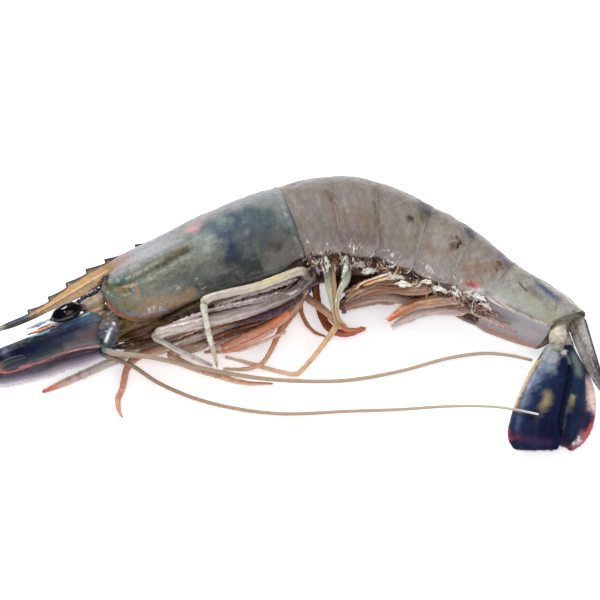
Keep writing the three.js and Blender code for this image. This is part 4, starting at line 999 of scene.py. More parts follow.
# %% The table of limbs
MIDDLE_HEIGHT = 10.3
UPRIGHT = (0, 0, 1)
LIMBS = {
    "thorax": dict(
        path=[(1.1, -9.4, 10), (-3.4, -12.2, 10), (-15.1, -17.6, 10), (-25.6, -21.7, 10), (-32, -24.2, 10)],
        wide=[5.2, 6, 6, 5.6, 5], thick=[2, 2, 2, 2, 2]),
    "mouthparts": dict(
        path=[(-33.6, -24.4, 10.3), (-39.3, -26.2, 10.3), (-44, -27.6, 10.2), (-48, -29.3, 10)],
        wide=[5, 5.4, 5, 3.4], thick=[2.2, 2.4, 2.4, 1.8]),
    "telson": dict(path=[(68.5, -24.3, 5.6), (69.8, -30.2, 5.4), (71.8, -37.4, 5), (74.6, -45.3, 4.6)],
        wide=[2.9, 2.6, 1.9, 0.5], thick=[1.9, 1.5, 1, 0.3], across=(0.5, 0.3, 0.8)),
    "tail_base_left": dict(path=[(63.3, -25.7, 7.6), (62.9, -28.5, 7.6), (62.3, -31.2, 6.8)],
        wide=[1.9, 2.2, 1.8], across=(1, 0, 0)),
    "tail_base_right": dict(path=[(64.7, -26.1, 3.2), (65.1, -28.2, 2.8), (65.7, -30.4, 2.6)],
        wide=[1.9, 2.2, 1.8], across=(1, 0, 0)),
    "uropod_left_outer": dict(path=[(62.6, -31.6, 6.4), (60.9, -38, 6.3), (57.9, -45, 5.8),
        (56.2, -50.8, 5.2), (55.6, -55.4, 4.7), (55.6, -58.3, 4.4)], wide=[3, 5, 5.7, 6.3, 6.7, 5.3],
        thick=[0.8, 0.75, 0.65, 0.5, 0.4, 0.3], across=(1, 0.1, 0)),
    "uropod_left_inner": dict(path=[(65, -30.8, 5.4), (65.9, -36.8, 5), (65.4, -42.8, 4.6),
        (64.2, -48.7, 4.2), (62.9, -53.4, 3.9), (61.7, -56.6, 3.8)], wide=[2, 3.1, 3.6, 3.6, 3.2, 2],
        thick=[0.8, 0.75, 0.65, 0.5, 0.4, 0.3], across=(1, 0.1, 0)),
    "uropod_right_outer": dict(path=[(66.6, -31.6, 2.6), (68.3, -38.3, 2.4), (68.7, -44.4, 2.2),
        (67.7, -49.2, 2), (65.7, -53.2, 1.7), (63.3, -55.8, 1.5)], wide=[1.8, 2.8, 3.1, 3.2, 3, 2.2],
        thick=[0.6, 0.6, 0.55, 0.45, 0.35, 0.3], across=(1, 0.1, 0)),
    "uropod_right_inner": dict(path=[(64.4, -31.6, 2.2), (63.2, -37.5, 1.9), (62, -43.5, 1.7),
        (60.9, -49, 1.5), (59.8, -53.3, 1.4)], wide=[1.8, 3, 3.8, 3.8, 2.2],
        thick=[0.6, 0.55, 0.5, 0.4, 0.3], across=(1, 0.1, 0)),
    "antenna_base_left": dict(path=[(-48.9, -26.2, 12.6), (-49.4, -29.9, 13.2), (-50, -33.5, 12.6)],
        wide=[2.4, 2.5, 1.8]),
    "antenna_base_right": dict(path=[(-49.5, -27.4, 6), (-50.1, -30.1, 5.8), (-50.8, -32.3, 5.6)],
        wide=[2.3, 2.3, 1.7]),
    "eye_stalk_left": dict(path=[(-51.9, -20.7, 13.4), (-54.4, -23, 14.4), (-56.1, -24.4, 15)],
        wide=[1.7, 1.6, 1.3]),
    "eye_left": dict(path=[(-56.6, -24.6, 15.2), (-58, -25.4, 15.7), (-60, -26.4, 15.9),
        (-62.1, -27.5, 15.7), (-63.6, -28.3, 15.3)], wide=[1, 2, 2.3, 1.7, 0.5]),
    "antennal_scale_left": dict(path=[(-51.5, -28.6, 12.2), (-52.8, -29.2, 12.2), (-56.7, -30.5, 12.2),
        (-61.3, -32.2, 12), (-65.2, -33.8, 11.6), (-71.1, -35.7, 10.8), (-76.2, -37.4, 10.2),
        (-78.9, -38.5, 9.8)], wide=[4, 4.8, 4.2, 3.8, 3.8, 3.6, 3.1, 1],
        thick=[1.2, 1.3, 1.1, 1, 0.9, 0.7, 0.6, 0.4], across=(0.15, 0.75, 0.66)),
    "antennal_scale_right": dict(path=[(-52.2, -29.8, 5), (-57.5, -31, 4.6), (-62.2, -32.2, 4.3),
        (-66.2, -33.8, 4), (-72.1, -35.8, 3.5), (-77.3, -37.4, 3), (-79.6, -38, 2.8)],
        wide=[3.4, 4.1, 4.1, 4, 3.6, 3, 1], thick=[1.2, 1.1, 1, 0.9, 0.7, 0.6, 0.4],
        across=(0.15, 0.9, 0.35)),
    "antennule_left": dict(
        path=[(-52, -24.6, 12), (-58, -26.8, 12), (-63.1, -28.6, 12), (-66.6, -29.6, 12)],
        wide=[1.5, 1.5, 1.4, 1]),
    "feeler_small": dict(path=[(-69.8, -36.6, 12.1), (-73, -37.5, 12), (-74.9, -38.5, 11.8),
        (-76.6, -40.2, 11.4), (-77.6, -41.8, 11)], wide=[0.5, 0.75, 0.8, 0.7, 0.4]),
    "feeler_left": dict(path=[(-50.2, -34.8, 12.4), (-48.2, -35.7, 12), (-45, -35.8, 11.4),
        (-39.3, -35.5, 9.4), (-31.2, -36, 6.6), (-18.8, -37.3, 3.6), (-6.5, -38.1, 1.9), (9.3, -37.7, 1),
        (23.3, -35, 0.9), (36.1, -31.2, 0.9), (45, -30.1, 1.2), (51.2, -31.2, 2.2), (56.3, -33.1, 3.4)],
        wide=[0.9, 0.75, 0.68, 0.62, 0.58, 0.55, 0.53, 0.51, 0.49, 0.47, 0.45, 0.43, 0.4]),
    "feeler_right": dict(path=[(-50.7, -33.2, 6), (-49, -33.6, 5.6), (-46.5, -34.6, 5), (-44, -35.3, 4.2),
        (-37.7, -38.9, 2.2), (-28.8, -42.5, 0.9), (-18.7, -45.3, 0.8), (-6.5, -46.9, 0.8),
        (10.2, -46.2, 0.8), (23, -45.7, 0.8), (35.4, -45.2, 1.5), (45.1, -46.5, 4), (50.8, -48.6, 6.6),
        (56.3, -50.2, 7.2)],
        wide=[0.8, 0.62, 0.58, 0.55, 0.52, 0.5, 0.48, 0.46, 0.43, 0.41, 0.38, 0.35, 0.32, 0.28]),
    "maxilliped": dict(path=[(-44.2, -30.8, 4.6), (-48, -32.3, 2.6), (-52.9, -34.4, 2), (-57.7, -36.9, 1.9),
        (-61.9, -38.6, 1.3), (-66.5, -40.7, 0.8)], wide=[1.2, 1.15, 1.15, 1.1, 1, 0.45],
        thick=[1, 0.9, 0.8, 0.8, 0.75, 0.4], across=(0, 1, 0)),
    "leg_1_right": dict(path=[(-38.8, -28.8, 2.6), (-43.9, -32.2, 2.5), (-45.8, -35.2, 1.9),
        (-46.7, -39.9, 1.1), (-47.7, -42.9, 0.9), (-47.3, -45.9, 0.8), (-46.4, -47.7, 0.6)],
        wide=[1.3, 1.1, 0.9, 0.85, 0.8, 0.6, 0.25]),
    "leg_2_left": dict(path=[(-19.1, -24.2, 6.6), (-28.2, -27.9, 6.2), (-34.6, -30, 5.2),
        (-37.9, -31.5, 5.2), (-41.4, -32.3, 5)], wide=[1.4, 1.3, 1.1, 1.2, 0.4]),
    "leg_2_right": dict(path=[(-27.3, -29.2, 4), (-34.7, -31, 2.6), (-29.3, -34, 1.2), (-22.5, -36.4, 0.9),
        (-15.6, -38.3, 0.8), (-9.1, -38.5, 0.7)], wide=[1.4, 1.2, 0.9, 0.75, 0.6, 0.3]),
    "leg_3_left": dict(path=[(-9, -20.6, 9.6), (-20, -23.9, 10.4), (-33, -28.2, 9.6), (-39.7, -30.2, 8.5),
        (-44.9, -32.3, 7)], wide=[1.3, 1.5, 1.3, 1.2, 0.5]),
    "leg_3_right": dict(path=[(-4, -20.6, 7.4), (-8.6, -24.5, 7), (-14.6, -27.7, 6), (-21.2, -29.9, 4.8),
        (-24, -30.6, 4.2)], wide=[1.3, 1.5, 1.9, 1.9, 1], thick=[1.1, 1.2, 1.2, 1.2, 0.7],
        across=(0, 1, 0.3)),
    "leg_4_left": dict(path=[(-4, -19.4, 13.2), (-17.6, -25.8, 13.8), (-36.6, -30.8, 13.4),
        (-37.6, -31.3, 12.6), (-36.4, -31.4, 9.9), (-31.8, -32.1, 5.8), (-24.5, -33.5, 1.2)],
        wide=[1.3, 1.5, 1.4, 1.3, 0.8, 0.75, 0.35], thick=[1.1, 1.25, 1.2, 1.1, 0.75, 0.7, 0.35],
        across=(0, 1, 0.3)),
    "leg_4_right": dict(path=[(-4, -19.9, 4.6), (-5.6, -22.8, 4.6), (-7.3, -25.9, 4.4), (-9.5, -30.6, 3.4),
        (-11.6, -33.4, 2.3), (-14.9, -34.4, 1.2), (-21.2, -34.3, 0.7)],
        wide=[1.3, 1, 0.75, 0.65, 0.55, 0.5, 0.3]),
    "leg_5_left": dict(path=[(-0.5, -14.3, 13.2), (-1.8, -15.2, 17), (-12, -20.4, 18.7),
        (-25.2, -24.4, 18.6), (-25.8, -25.3, 18.2), (-25.2, -29.2, 17), (-24.6, -31.1, 12.2),
        (-23.9, -32, 7.2), (-23, -33.7, 0.9)], wide=[1.4, 1.15, 1.05, 1.05, 0.95, 0.7, 0.8, 0.7, 0.3]),
    "leg_5_right": dict(path=[(-1.2, -14.8, 5), (3.1, -19.5, 6.4), (6.9, -22.7, 5.4), (7.4, -23.2, 5.2),
        (3.9, -28.6, 3.2), (-2, -35.2, 1), (-2.8, -35.8, 0.9), (-8.6, -34.7, 0.8), (-15, -32.6, 0.8),
        (-20.8, -30.9, 0.7)], wide=[1, 1, 0.9, 0.85, 0.7, 0.6, 0.6, 0.55, 0.5, 0.3]),
    "swimmeret_1_left": dict(path=[(5.1, -10.4, 13.6), (5.6, -16.3, 12.6), (6.6, -21.9, 10.2),
        (7.5, -25, 8.4), (9.8, -26.4, 7.2), (14.5, -25.3, 5.8)], wide=[1.5, 1.3, 0.9, 0.7, 0.7, 0.3],
        thick=[1.8, 1.5, 0.95, 0.7, 0.6, 0.25]),
    "swimmeret_1_right": dict(path=[(1.9, -11.2, 5), (2.6, -16.6, 4), (3.8, -20.6, 2.8), (6.2, -23.7, 2),
        (10, -24.6, 1.7), (14.6, -23.4, 1.5)], wide=[1.2, 1.1, 1.1, 1.1, 0.9, 0.4],
        thick=[1.3, 1.1, 1.2, 1.3, 1.1, 0.3]),
    "swimmeret_2_left": dict(path=[(9.7, -11.1, 13.8), (9.6, -15.3, 13.4), (7.8, -19.1, 12.8),
        (7.3, -22.6, 12.4), (7.8, -25.8, 11.4), (9.5, -27.2, 10.6)], wide=[1.3, 1, 0.7, 0.6, 0.5, 0.25],
        thick=[1.7, 1.3, 0.85, 0.65, 0.5, 0.25]),
    "swimmeret_2_right": dict(path=[(-0.7, -12.2, 3.6), (-1.9, -17.1, 2.8), (-1.2, -20, 2.2),
        (0.3, -22.6, 1.5), (2.1, -24, 1), (4.4, -24.9, 0.7)], wide=[1, 0.8, 0.7, 0.6, 0.5, 0.3]),
    "swimmeret_3_left": dict(
        path=[(22.2, -15.3, 14.8), (17.6, -16.5, 14.6), (13.6, -17.7, 14), (9.6, -19.5, 12.8)],
        wide=[1.5, 1.2, 0.9, 0.4], thick=[1, 0.9, 0.6, 0.3], across=(0, 1, 0.2)),
    "swimmeret_3_right": dict(
        path=[(21.5, -17.5, 6.6), (17.9, -17.4, 6.4), (13.8, -18, 6), (9.2, -19.8, 5.4)],
        wide=[1.5, 1.4, 1.3, 0.4], thick=[1, 0.8, 0.6, 0.3], across=(0, 1, 0.2)),
    "swimmeret_4_left": dict(path=[(30.3, -17.6, 12.8), (24.5, -17.7, 12.4), (18.5, -17.1, 11.9),
        (13.2, -18.3, 11.3), (8.8, -20.9, 10.4)], wide=[1.7, 1.6, 1.5, 1.4, 0.4],
        thick=[1.2, 1, 0.8, 0.7, 0.3], across=(0, 1, 0.2)),
    "swimmeret_4_right": dict(
        path=[(30.7, -17.8, 6), (24.7, -18.6, 8), (19.1, -18, 9), (13.7, -18.9, 9), (9.4, -20.7, 8.6)],
        wide=[1.4, 1.3, 1.3, 1.2, 0.4], thick=[1, 0.9, 0.7, 0.6, 0.3], across=(0, 1, 0.2)),
    "swimmeret_5_left": dict(path=[(39.1, -19.5, 11.6), (33.3, -20.1, 11), (27.8, -20.8, 10.2),
        (23.7, -22.3, 9.4), (20.2, -24.7, 8.8)], wide=[1.6, 1.7, 1.5, 1.4, 0.5],
        thick=[1.1, 0.9, 0.8, 0.7, 0.3], across=(0, 1, 0.2)),
    "swimmeret_5_right": dict(path=[(39.5, -20.1, 6), (34.2, -19.9, 5.6), (28.6, -20.4, 5),
        (24.5, -22.2, 4.6), (21.4, -24.1, 4.2)], wide=[1.5, 1.4, 1.3, 1.1, 0.4],
        thick=[1, 0.8, 0.7, 0.6, 0.3], across=(0, 1, 0.2)),
}


def mirrored(name):
    """The limb of this name on the other side of the body."""
    return dict(LIMBS[name], path=[(x, y, 2 * MIDDLE_HEIGHT - z) for x, y, z in LIMBS[name]["path"]])


for part in ("eye_stalk", "eye", "antennule"):
    LIMBS[part + "_right"] = mirrored(part + "_left")
print("limbs:", len(LIMBS))

# %% Skin of a limb
def axes(limb, at):
    """Centre, direction, broad side and flat side of a limb at the places `at`, and both half widths."""
    centre, along = centre_line(limb["path"], at), direction(limb["path"], at)
    side = unit(np.array(limb.get("across", UPRIGHT), float))
    side = unit(side - along * (along @ side)[..., None])
    wide = np.maximum(smooth(limb["wide"], at), 0.15)
    thick = np.maximum(smooth(limb.get("thick", limb["wide"]), at), 0.15)
    return centre, along, side, np.cross(along, side), wide, thick


def on_limb(name, *places):
    """The path through (step, angle) places on a limb."""
    at, degrees = np.array(places, float).T
    centre, _, side, flat, wide, thick = axes(LIMBS[name], at)
    turn = np.radians(degrees)
    return centre + side * (wide * np.cos(turn))[:, None] + flat * (thick * np.sin(turn))[:, None]


def limb_skin(limb, step=0.35, sides=28, lens=1.0, joints=(), end=0.8):
    """Rows of points round a limb. `lens` above 1 sharpens its edges, `joints` are the steps of its knees."""
    last = len(limb["path"]) - 1
    fine = np.linspace(0, last, 900)
    gone = np.r_[0, np.cumsum(np.linalg.norm(np.diff(centre_line(limb["path"], fine), axis=0), axis=1))]
    at = np.interp(np.linspace(0, gone[-1], max(10, round(gone[-1] / step))), gone, fine)
    centre, along, side, flat, wide, thick = axes(limb, at)
    run = np.interp(at, fine, gone)
    swell = np.ones(at.shape)
    for joint in joints:
        gap = run - np.interp(joint, fine, gone)
        swell += 0.10 * np.exp(-(((gap + 0.8) / 0.7) ** 2)) - 0.16 * np.exp(-((gap / 0.24) ** 2))
        swell += 0.06 * np.exp(-(((gap - 0.6) / 0.4) ** 2))
    phi = np.radians([78, 60, 42, 24])
    nose = end * np.minimum(wide, thick)
    back = [(0, -nose[0] * math.sin(p), math.cos(p)) for p in phi]
    fore = [(-1, nose[-1] * math.sin(p), math.cos(p)) for p in phi[::-1]]
    pick = np.r_[[0] * 4, np.arange(len(at)), [len(at) - 1] * 4]
    shift = np.r_[[b[1] for b in back], np.zeros(len(at)), [f[1] for f in fore]]
    scale = np.r_[[b[2] for b in back], swell, [f[2] for f in fore]]
    turn = np.linspace(0, 2 * math.pi, sides, endpoint=False)
    thin = np.abs(np.sin(turn)) ** lens * np.sign(np.sin(turn))
    points = (centre[pick] + along[pick] * shift[:, None])[:, None]
    points = points + side[pick][:, None] * (wide[pick] * scale)[:, None, None] * np.cos(turn)[None, :, None]
    points = points + flat[pick][:, None] * (thick[pick] * scale)[:, None, None] * thin[None, :, None]
    grid = np.broadcast_to(at[pick][:, None], points.shape[:2])
    around = np.broadcast_to(np.degrees(turn)[None], points.shape[:2])
    return points, grid, around, np.broadcast_to((run[pick] + shift)[:, None], points.shape[:2])


print("a leg has", limb_skin(LIMBS["leg_5_left"])[0].shape, "points")

# %% Finishes of the soft parts and the tail
limb_finish = wet_finish("wet_limb", level=0.86, mottle_size=1.1, glow=0.3, dry=0.34, slick=0.14).material
tail_finish = wet_finish("wet_tail", mottle=0.22, mottle_size=1.3, pits=0.06, glow=0.05, dry=0.38,
                         slick=0.32, coat=0.12).material
flesh_finish = wet_finish("wet_flesh", level=0.85, mottle=0.32, mottle_size=1.0, pits=0.12, glow=0.25,
                          dry=0.4, slick=0.1, coat=0.6).material
eye_finish = wet_finish("black_eye", mottle=0.05, mottle_size=0.8, pits=0.03, glow=0.0, dry=0.2,
                        slick=0.13, coat=0.3).material
print("finishes:", len(bpy.data.materials))

# %% [markdown]
# A leg is a chain of stiff tubes with soft joints, so its skin swells before a joint and is pinched in at
# it. Wet legs are pale on top and dark where the light can't reach, so each one has a run of colours along
# it and a painted shade underneath, where its skin faces down. A root that goes on inside the body hides
# where the leg begins.

# %% Legs, jaw foot and antennules
LEGS = {  # slot, colours along it, shade of its underside, steps of its joints
    "leg_5_left": ("pale_limb", [(0, "#4c3a30"), (0.8, "#7d6a5e"), (1.05, "#c9bcb2"), (1.4, "#d2c8b0"),
        (1.7, "#dcd4a0"), (2, "#ddd2b4"), (2.3, "#cdc2b8"), (3, "#c9c0b4"), (3.7, "#b9ba98"),
        (4.2, "#d6d2c4"), (5, "#e4dfd0"), (6, "#f4efe4"), (7, "#f2e6c8"), (8, "#e4cfae")], "#857568",
        [4, 5.5]),
    "leg_4_left": ("pink_limb", [(0, "#6c5a58"), (0.6, "#a69490"), (1, "#c4b2ae"), (1.6, "#d2c0ba"),
        (2, "#cabab2"), (2.8, "#9a9c88"), (3.6, "#cfc9c0"), (5, "#eee6de"), (6, "#ecdcd0")], "#8c7672",
        [2.6, 3.6]),
    "leg_3_left": ("pink_limb",
        [(0, "#7d7068"), (1, "#a89a90"), (2, "#a99a90"), (3, "#8f7c6b"), (4, "#7f6a56")], "#5d4c44", [2.5]),
    "leg_3_right": ("orange_limb",
        [(0, "#cc9070"), (1, "#dca488"), (2, "#e4b8a0"), (3, "#ecc8b4"), (4, "#f0d4c4")], "#b87c5c", [1.9]),
    "leg_4_right": ("orange_limb", [(0, "#b9764c"), (2, "#d89468"), (4, "#e4b08c"), (6, "#eecab0")],
        "#b0704a", [2, 4]),
    "leg_5_right": ("orange_limb",
        [(0, "#b98a63"), (2, "#d09c70"), (4, "#eebb90"), (6, "#f2c8a4"), (9, "#f0d4bc")], "#b8845c",
        [2.6, 5.6]),
    "leg_2_left": ("orange_limb",
        [(0, "#a58e80"), (1, "#bca497"), (2, "#c4a28f"), (3, "#dba68b"), (4, "#d4835e")], "#95705d", [2]),
    "leg_2_right": ("orange_limb",
        [(0, "#c0a090"), (1, "#d8ac94"), (3, "#eebfa0"), (4, "#f0b898"), (5, "#eca884")], "#b07c5c",
        [1, 3]),
    "leg_1_right": ("orange_limb", [(0, "#cc9478"), (1, "#d8a088"), (2, "#d08868"), (3, "#eab49c"),
        (4, "#eaa890"), (5, "#f0b49c"), (6, "#e09478")], "#b86c4c", [1, 3]),
    "maxilliped": ("pink_limb", [(0, "#b0a898"), (1, "#cfc8ba"), (2, "#d4c6c0"), (3, "#d8bcb8"),
        (4, "#dca898"), (4.6, "#e07a58"), (5, "#c9502c")], "#8a7078", [1, 3]),
    "antennule_left": ("feeler", [(0, "#8a7f7a"), (1, "#b9b9bf"), (2, "#c3cbd6"), (3, "#aab3c4")],
        "#c07c45", [1, 2]),
    "antennule_right": ("feeler", [(0, "#8a7f7a"), (1, "#b4a79a"), (3, "#a58f7c")], "#a86a3c", [1, 2]),
    "eye_stalk_left": ("pink_limb",
        [(0, "#b59a80"), (0.6, "#c8b298"), (1.2, "#b09478"), (1.7, "#a8907c"), (2, "#3c3438")], "#7d6357",
        []),
    "eye_stalk_right": ("pink_limb", [(0, "#b59a8c"), (1.7, "#a8968e"), (2, "#3c3438")], "#7d6357", []),
}
LINES = {"leg_4_left": 0.5, "leg_3_left": 0.5, "leg_5_left": 0.25}  # strength of the streaks along a limb
ROOTS = {  # where a limb goes on inside the body
    "leg_5_left": (-0.2, -10.5, 10.5), "leg_4_left": (1, -12.5, 11), "leg_3_left": (-3, -15.5, 9),
    "leg_3_right": (0, -13.5, 7.5), "leg_4_right": (-1, -14.5, 5.5), "leg_2_left": (-9, -18.5, 7.5),
    "leg_2_right": (-17, -22.5, 6), "leg_5_right": (-2.5, -11.5, 5), "maxilliped": (-38.5, -27.2, 7),
    "leg_1_right": (-33, -25.5, 4.5),
}


def rooted(name):
    """The limb with one step more at its root, and how many steps that shifts its places."""
    limb = dict(LIMBS[name])
    if name not in ROOTS:
        return limb, 0
    limb["path"] = [ROOTS[name]] + limb["path"]
    for key in ("wide", "thick"):
        if key in limb:
            limb[key] = [limb[key][0] * 1.1] + limb[key]
    return limb, 1


print("legs and their kin:", len(LEGS))

# %% Make the legs
for name, (slot, shades, under, joints) in LEGS.items():
    limb, shift = rooted(name)
    skin, at, around, run = limb_skin(limb, joints=[joint + shift for joint in joints], step=0.3)
    at = at - shift
    ridge = 0.07 * np.sin(np.radians(around) * 3 + 0.6 * ripple(skin, 9.0))
    lines = np.sin(np.radians(around) * 7 + 1.6 * ripple(skin, 11.0, len(name)))
    skin = skin + outward(skin) * (0.07 * coarse_ripple(skin, 2.4) + ridge)[..., None]
    coat = Paint(skin, under)
    coat.run(at, shades)
    coat.cloud(under, 3.0, 0.45, 1.0, 2.0)
    coat.cloud("#d8d2c8", 2.2, 0.35, 1.0, 6.0)
    coat.cloud("#7f8468", 4.0, 0.20, 1.0, 9.0)
    coat.over(under, LINES.get(name, 0.25) * ease(lines, 0.2, 0.9) * (1 - 0.75 * ease(at, 2.6, 3.4)))
    coat.over("#efe8e4", LINES.get(name, 0.25) * 0.6 * ease(-lines, 0.4, 1.0))
    # painted shade: the underside colour where the skin faces down
    facing = outward(skin)[..., 2]
    coat.over(under, 0.75 * fall(facing, -0.55, 0.35))
    for joint in joints:
        coat.over(under, 0.55 * np.exp(-(((at - joint) / 0.10) ** 2)))
    leg = Piece(name + "_skin")
    leg.tube(skin, coat.rgb, 0.75)
    leg.make(limb_finish, slot, name)

# %% [markdown]
# A feeler is a chain of hundreds of tiny rings. They are too small for the mesh, so every point carries how
# far along the feeler it is, and a sine of that length becomes a bump. An eye is black and wet, with a grey
# rim where its stalk begins.

# %% Feelers
FEELER_RING = 0.55
feeler_finish = wet_finish("ringed_feeler", mottle=0.12, mottle_size=1.6, pits=0.02, glow=0.15, dry=0.4,
                           coat=0.25)
place = feeler_finish.node("ShaderNodeSeparateXYZ", {}, {0: feeler_finish.stored("lay", "Vector")})
ringed = feeler_finish.node("ShaderNodeMath", {"operation": "SINE"}, {0: place * (2 * math.pi / FEELER_RING)})
feeler_finish.feed("Normal", feeler_finish.bump(ringed.eased(-0.9, 0.2), 0.06))
FEELERS = {
    "feeler_left": ([(0, "#5c6f6c"), (0.6, "#a49c92"), (3, "#a9957f"), (6, "#b39c85"), (10, "#bba58f"),
        (12, "#a5937a")], "#6f4f38"),
    "feeler_right": ([(0, "#7c7468"), (1, "#96806a"), (5, "#ab8f76"), (9, "#baa28b"), (12, "#c4b09c"),
        (13, "#e2dcd2")], "#73523a"),
    "feeler_small": ([(0, "#141a30"), (1, "#20263a"), (2, "#3c3a3a"), (2.8, "#7c5a44"), (3.4, "#c07048"),
        (4, "#c87850")], "#141a30"),
}
for name, (shades, under) in FEELERS.items():
    skin, at, around, run = limb_skin(LIMBS[name], step=0.4, sides=14)
    coat = Paint(skin, under)
    coat.run(at, shades)
    # painted shade: the underside colour where the skin faces down
    facing = outward(skin)[..., 2]
    coat.over(under, 0.85 * fall(facing, -0.5, 0.5))
    lay = np.stack([run, np.zeros(run.shape), np.zeros(run.shape)], -1)
    feeler = Piece(name + "_skin")
    feeler.tube(skin, coat.rgb, 0.35, lay)
    feeler.make(feeler_finish.material, "feeler", name)

# %% Eyes
for name in ("eye_left", "eye_right"):
    skin, at, around, run = limb_skin(LIMBS[name], step=0.2, sides=36)
    skin = skin + outward(skin) * (0.10 * coarse_ripple(skin, 4.0))[..., None]
    coat = Paint(skin, "#0a080c")
    coat.cloud("#2a1c24", 1.6, 0.6, 1.0, 3.0)
    coat.over("#3a3036", fall(at, 0.1, 0.5))
    coat.over("#7d8fa0", 0.7 * ease(at + 0.35 * ripple(skin, 1.2), 3.55, 3.9))
    eye = Piece(name + "_skin")
    eye.tube(skin, coat.rgb, 1.0)
    eye.make(eye_finish, "eye", name)

# %% [markdown]
# ## Blades
#
# The antennal scale and the fan of the tail are thin blades: a lens section with a raised rib, veins that
# run lengthwise, and a fringe of short hairs along the free edge. Their dark blue sits in the skin, so it
# is painted in clouds with the yellow, red and teal marks over it.

# %% Build one blade
def blade_skin(name, ribs, step=0.3, sides=72, end=1.0, veins=0.025):
    """A blade with ribs. Each rib is (how far across from -1 to 1, height, width)."""
    limb = LIMBS[name]
    skin, at, around, run = limb_skin(limb, step=step, sides=sides, lens=1.25, end=end)
    across = np.cos(np.radians(around))
    relief = np.zeros(at.shape)
    for where, height, width in ribs:
        relief += height * np.exp(-(((across - where) / width) ** 2))
    relief += veins * np.sin(across * 26) * np.abs(np.sin(np.radians(around))) ** 0.5
    relief += 0.05 * coarse_ripple(skin, 3.0)
    fade = ease(run, run.min() + 0.2, run.min() + 1.5) * fall(run, run.max() - 1.2, run.max() - 0.1)
    skin = skin + outward(skin) * (relief * fade * np.abs(np.sin(np.radians(around))) ** 0.7)[..., None]
    return skin, at, around, across


HAIR_THICK = 0.035


def fringe(piece, name, side, low, high, count, length, code):
    """Hairs along one edge of a blade, from step `low` to `high`. `side` is 1 or -1."""
    at = np.sort(rng.uniform(low, high, count))
    centre, along, across, flat, wide, _ = axes(LIMBS[name], at)
    roots = centre + across * (side * wide * 0.97)[:, None]
    ways = across * side + along * (0.55 + rng.normal(0, 0.35, (count, 1)) * 0.4)
    ways = ways + flat * rng.normal(0, 0.12, (count, 1))
    bristles(piece, roots, ways, length * rng.uniform(0.6, 1.1, count), HAIR_THICK, code)


def tip_fringe(piece, name, count, length, code):
    """Hairs round the end of a blade."""
    last = len(LIMBS[name]["path"]) - 1
    centre, along, across, flat, wide, thick = axes(LIMBS[name], np.full(count, float(last)))
    share = rng.uniform(-1, 1, count)
    lean = np.sqrt(np.maximum(1 - share**2, 0)) * 0.8 * thick
    roots = centre + across * (share * wide * 0.9)[:, None] + along * lean[:, None] * 0.6
    ways = along + across * (share * 0.8)[:, None] + flat * rng.normal(0, 0.1, (count, 1))
    bristles(piece, roots, ways, length * rng.uniform(0.6, 1.1, count), HAIR_THICK, code)


print("blades and fringes are ready")

# %% [markdown]
# The antennal scales are the largest blades of the head. They could be flat cards with a picture, but a
# wet scale shows its rib as a line of light, so they are solid. The left one is deep blue with rosy edges.
# The right one lies under it, painted dark where the left one shades it and paler towards its outer edge.

# %% Antennal scales
SCALE_STROKES = [  # colour, path, width, strength, softness, raggedness
    ("#3f5a66", [(0.8, 318), (1.6, 326), (2.4, 330), (3.2, 334)], 0.9, 0.8, 0.7, 0.3),
    ("#586569", [(0.4, 310), (1.2, 316)], 1.2, 0.8, 0.9, 0.3),
    ("#8aa08f", [(1.2, 346), (2.2, 346), (3.2, 344), (4.2, 344)], 0.35, 0.8, 0.6, 0.2),
    ("#0a1836", [(2.2, 300), (3, 306), (4, 312), (4.8, 318)], 1.5, 0.9, 0.8, 0.3),
    ("#03123a", [(3.6, 276), (4.4, 280), (5.2, 290), (5.9, 310)], 1.9, 0.9, 0.8, 0.4),
    ("#272d40", [(2.4, 262), (3.2, 268), (4, 270)], 1.5, 0.7, 0.8, 0.4),
    ("#5c5054", [(0.5, 270), (1.2, 262), (1.9, 262)], 1.8, 0.85, 0.9, 0.3),
    ("#6b5f5a", [(1.4, 238), (2.2, 240), (2.8, 240)], 1.2, 0.8, 0.9, 0.4),
    ("#4a4a38", [(3.2, 236), (4, 240), (4.8, 242)], 0.9, 0.7, 0.9, 0.4),
    ("#1c303c", [(4, 252), (4.8, 256), (5.4, 260)], 0.9, 0.7, 0.8, 0.4),
    ("#c98a86", [(1.2, 206), (2.2, 202), (3.2, 212), (4.2, 206), (5.2, 210)], 0.5, 0.85, 0.6, 0.2),
    ("#7a3f3c", [(2.8, 216), (3.8, 218), (4.8, 218)], 0.35, 0.7, 0.6, 0.4),
    ("#100c10", [(1.3, 198), (2.3, 194), (3.4, 204), (4.4, 198), (5.4, 203)], 0.28, 0.9, 0.5, 0.2),
    ("#6f7688", [(5.2, 330), (5.6, 318), (5.6, 300)], 1.1, 0.8, 0.8, 0.4),
    ("#020922", [(2.2, 330), (3, 320), (3.8, 314), (4.6, 312), (5.1, 316)], 2.2, 0.8, 0.9, 0.35),
    ("#0c2c60", [(1.2, 316), (1.9, 320), (2.6, 326), (3.4, 330)], 0.9, 0.75, 0.9, 0.5),
    ("#b0585a", [(4.8, 200), (5.6, 198), (6.35, 196)], 0.42, 0.9, 0.7, 0.3),
    ("#4a3f38", [(5, 250), (5.6, 240), (6.1, 236)], 0.7, 0.7, 0.9, 0.5),
    ("#5c6a5c", [(4.4, 340), (4.9, 336), (5.3, 342)], 0.6, 0.8, 0.8, 0.7),
    ("#4a3c2c", [(2, 340), (2.6, 336), (3.3, 342)], 0.3, 0.7, 0.8, 0.8),
    ("#7fb0bc", [(3.4, 342), (3.8, 340), (4.4, 344)], 0.25, 0.8, 0.7, 0.7),
    ("#2c5878", [(1, 330), (1.8, 334), (2.6, 334)], 0.6, 0.7, 0.8, 0.6),
    ("#6a4c50", [(0.9, 268), (1.4, 262), (2, 256)], 1, 0.7, 0.9, 0.5),
    ("#b5683a", [(6, 210), (6.4, 230), (6.4, 300)], 0.5, 0.8, 0.7, 0.6),
]
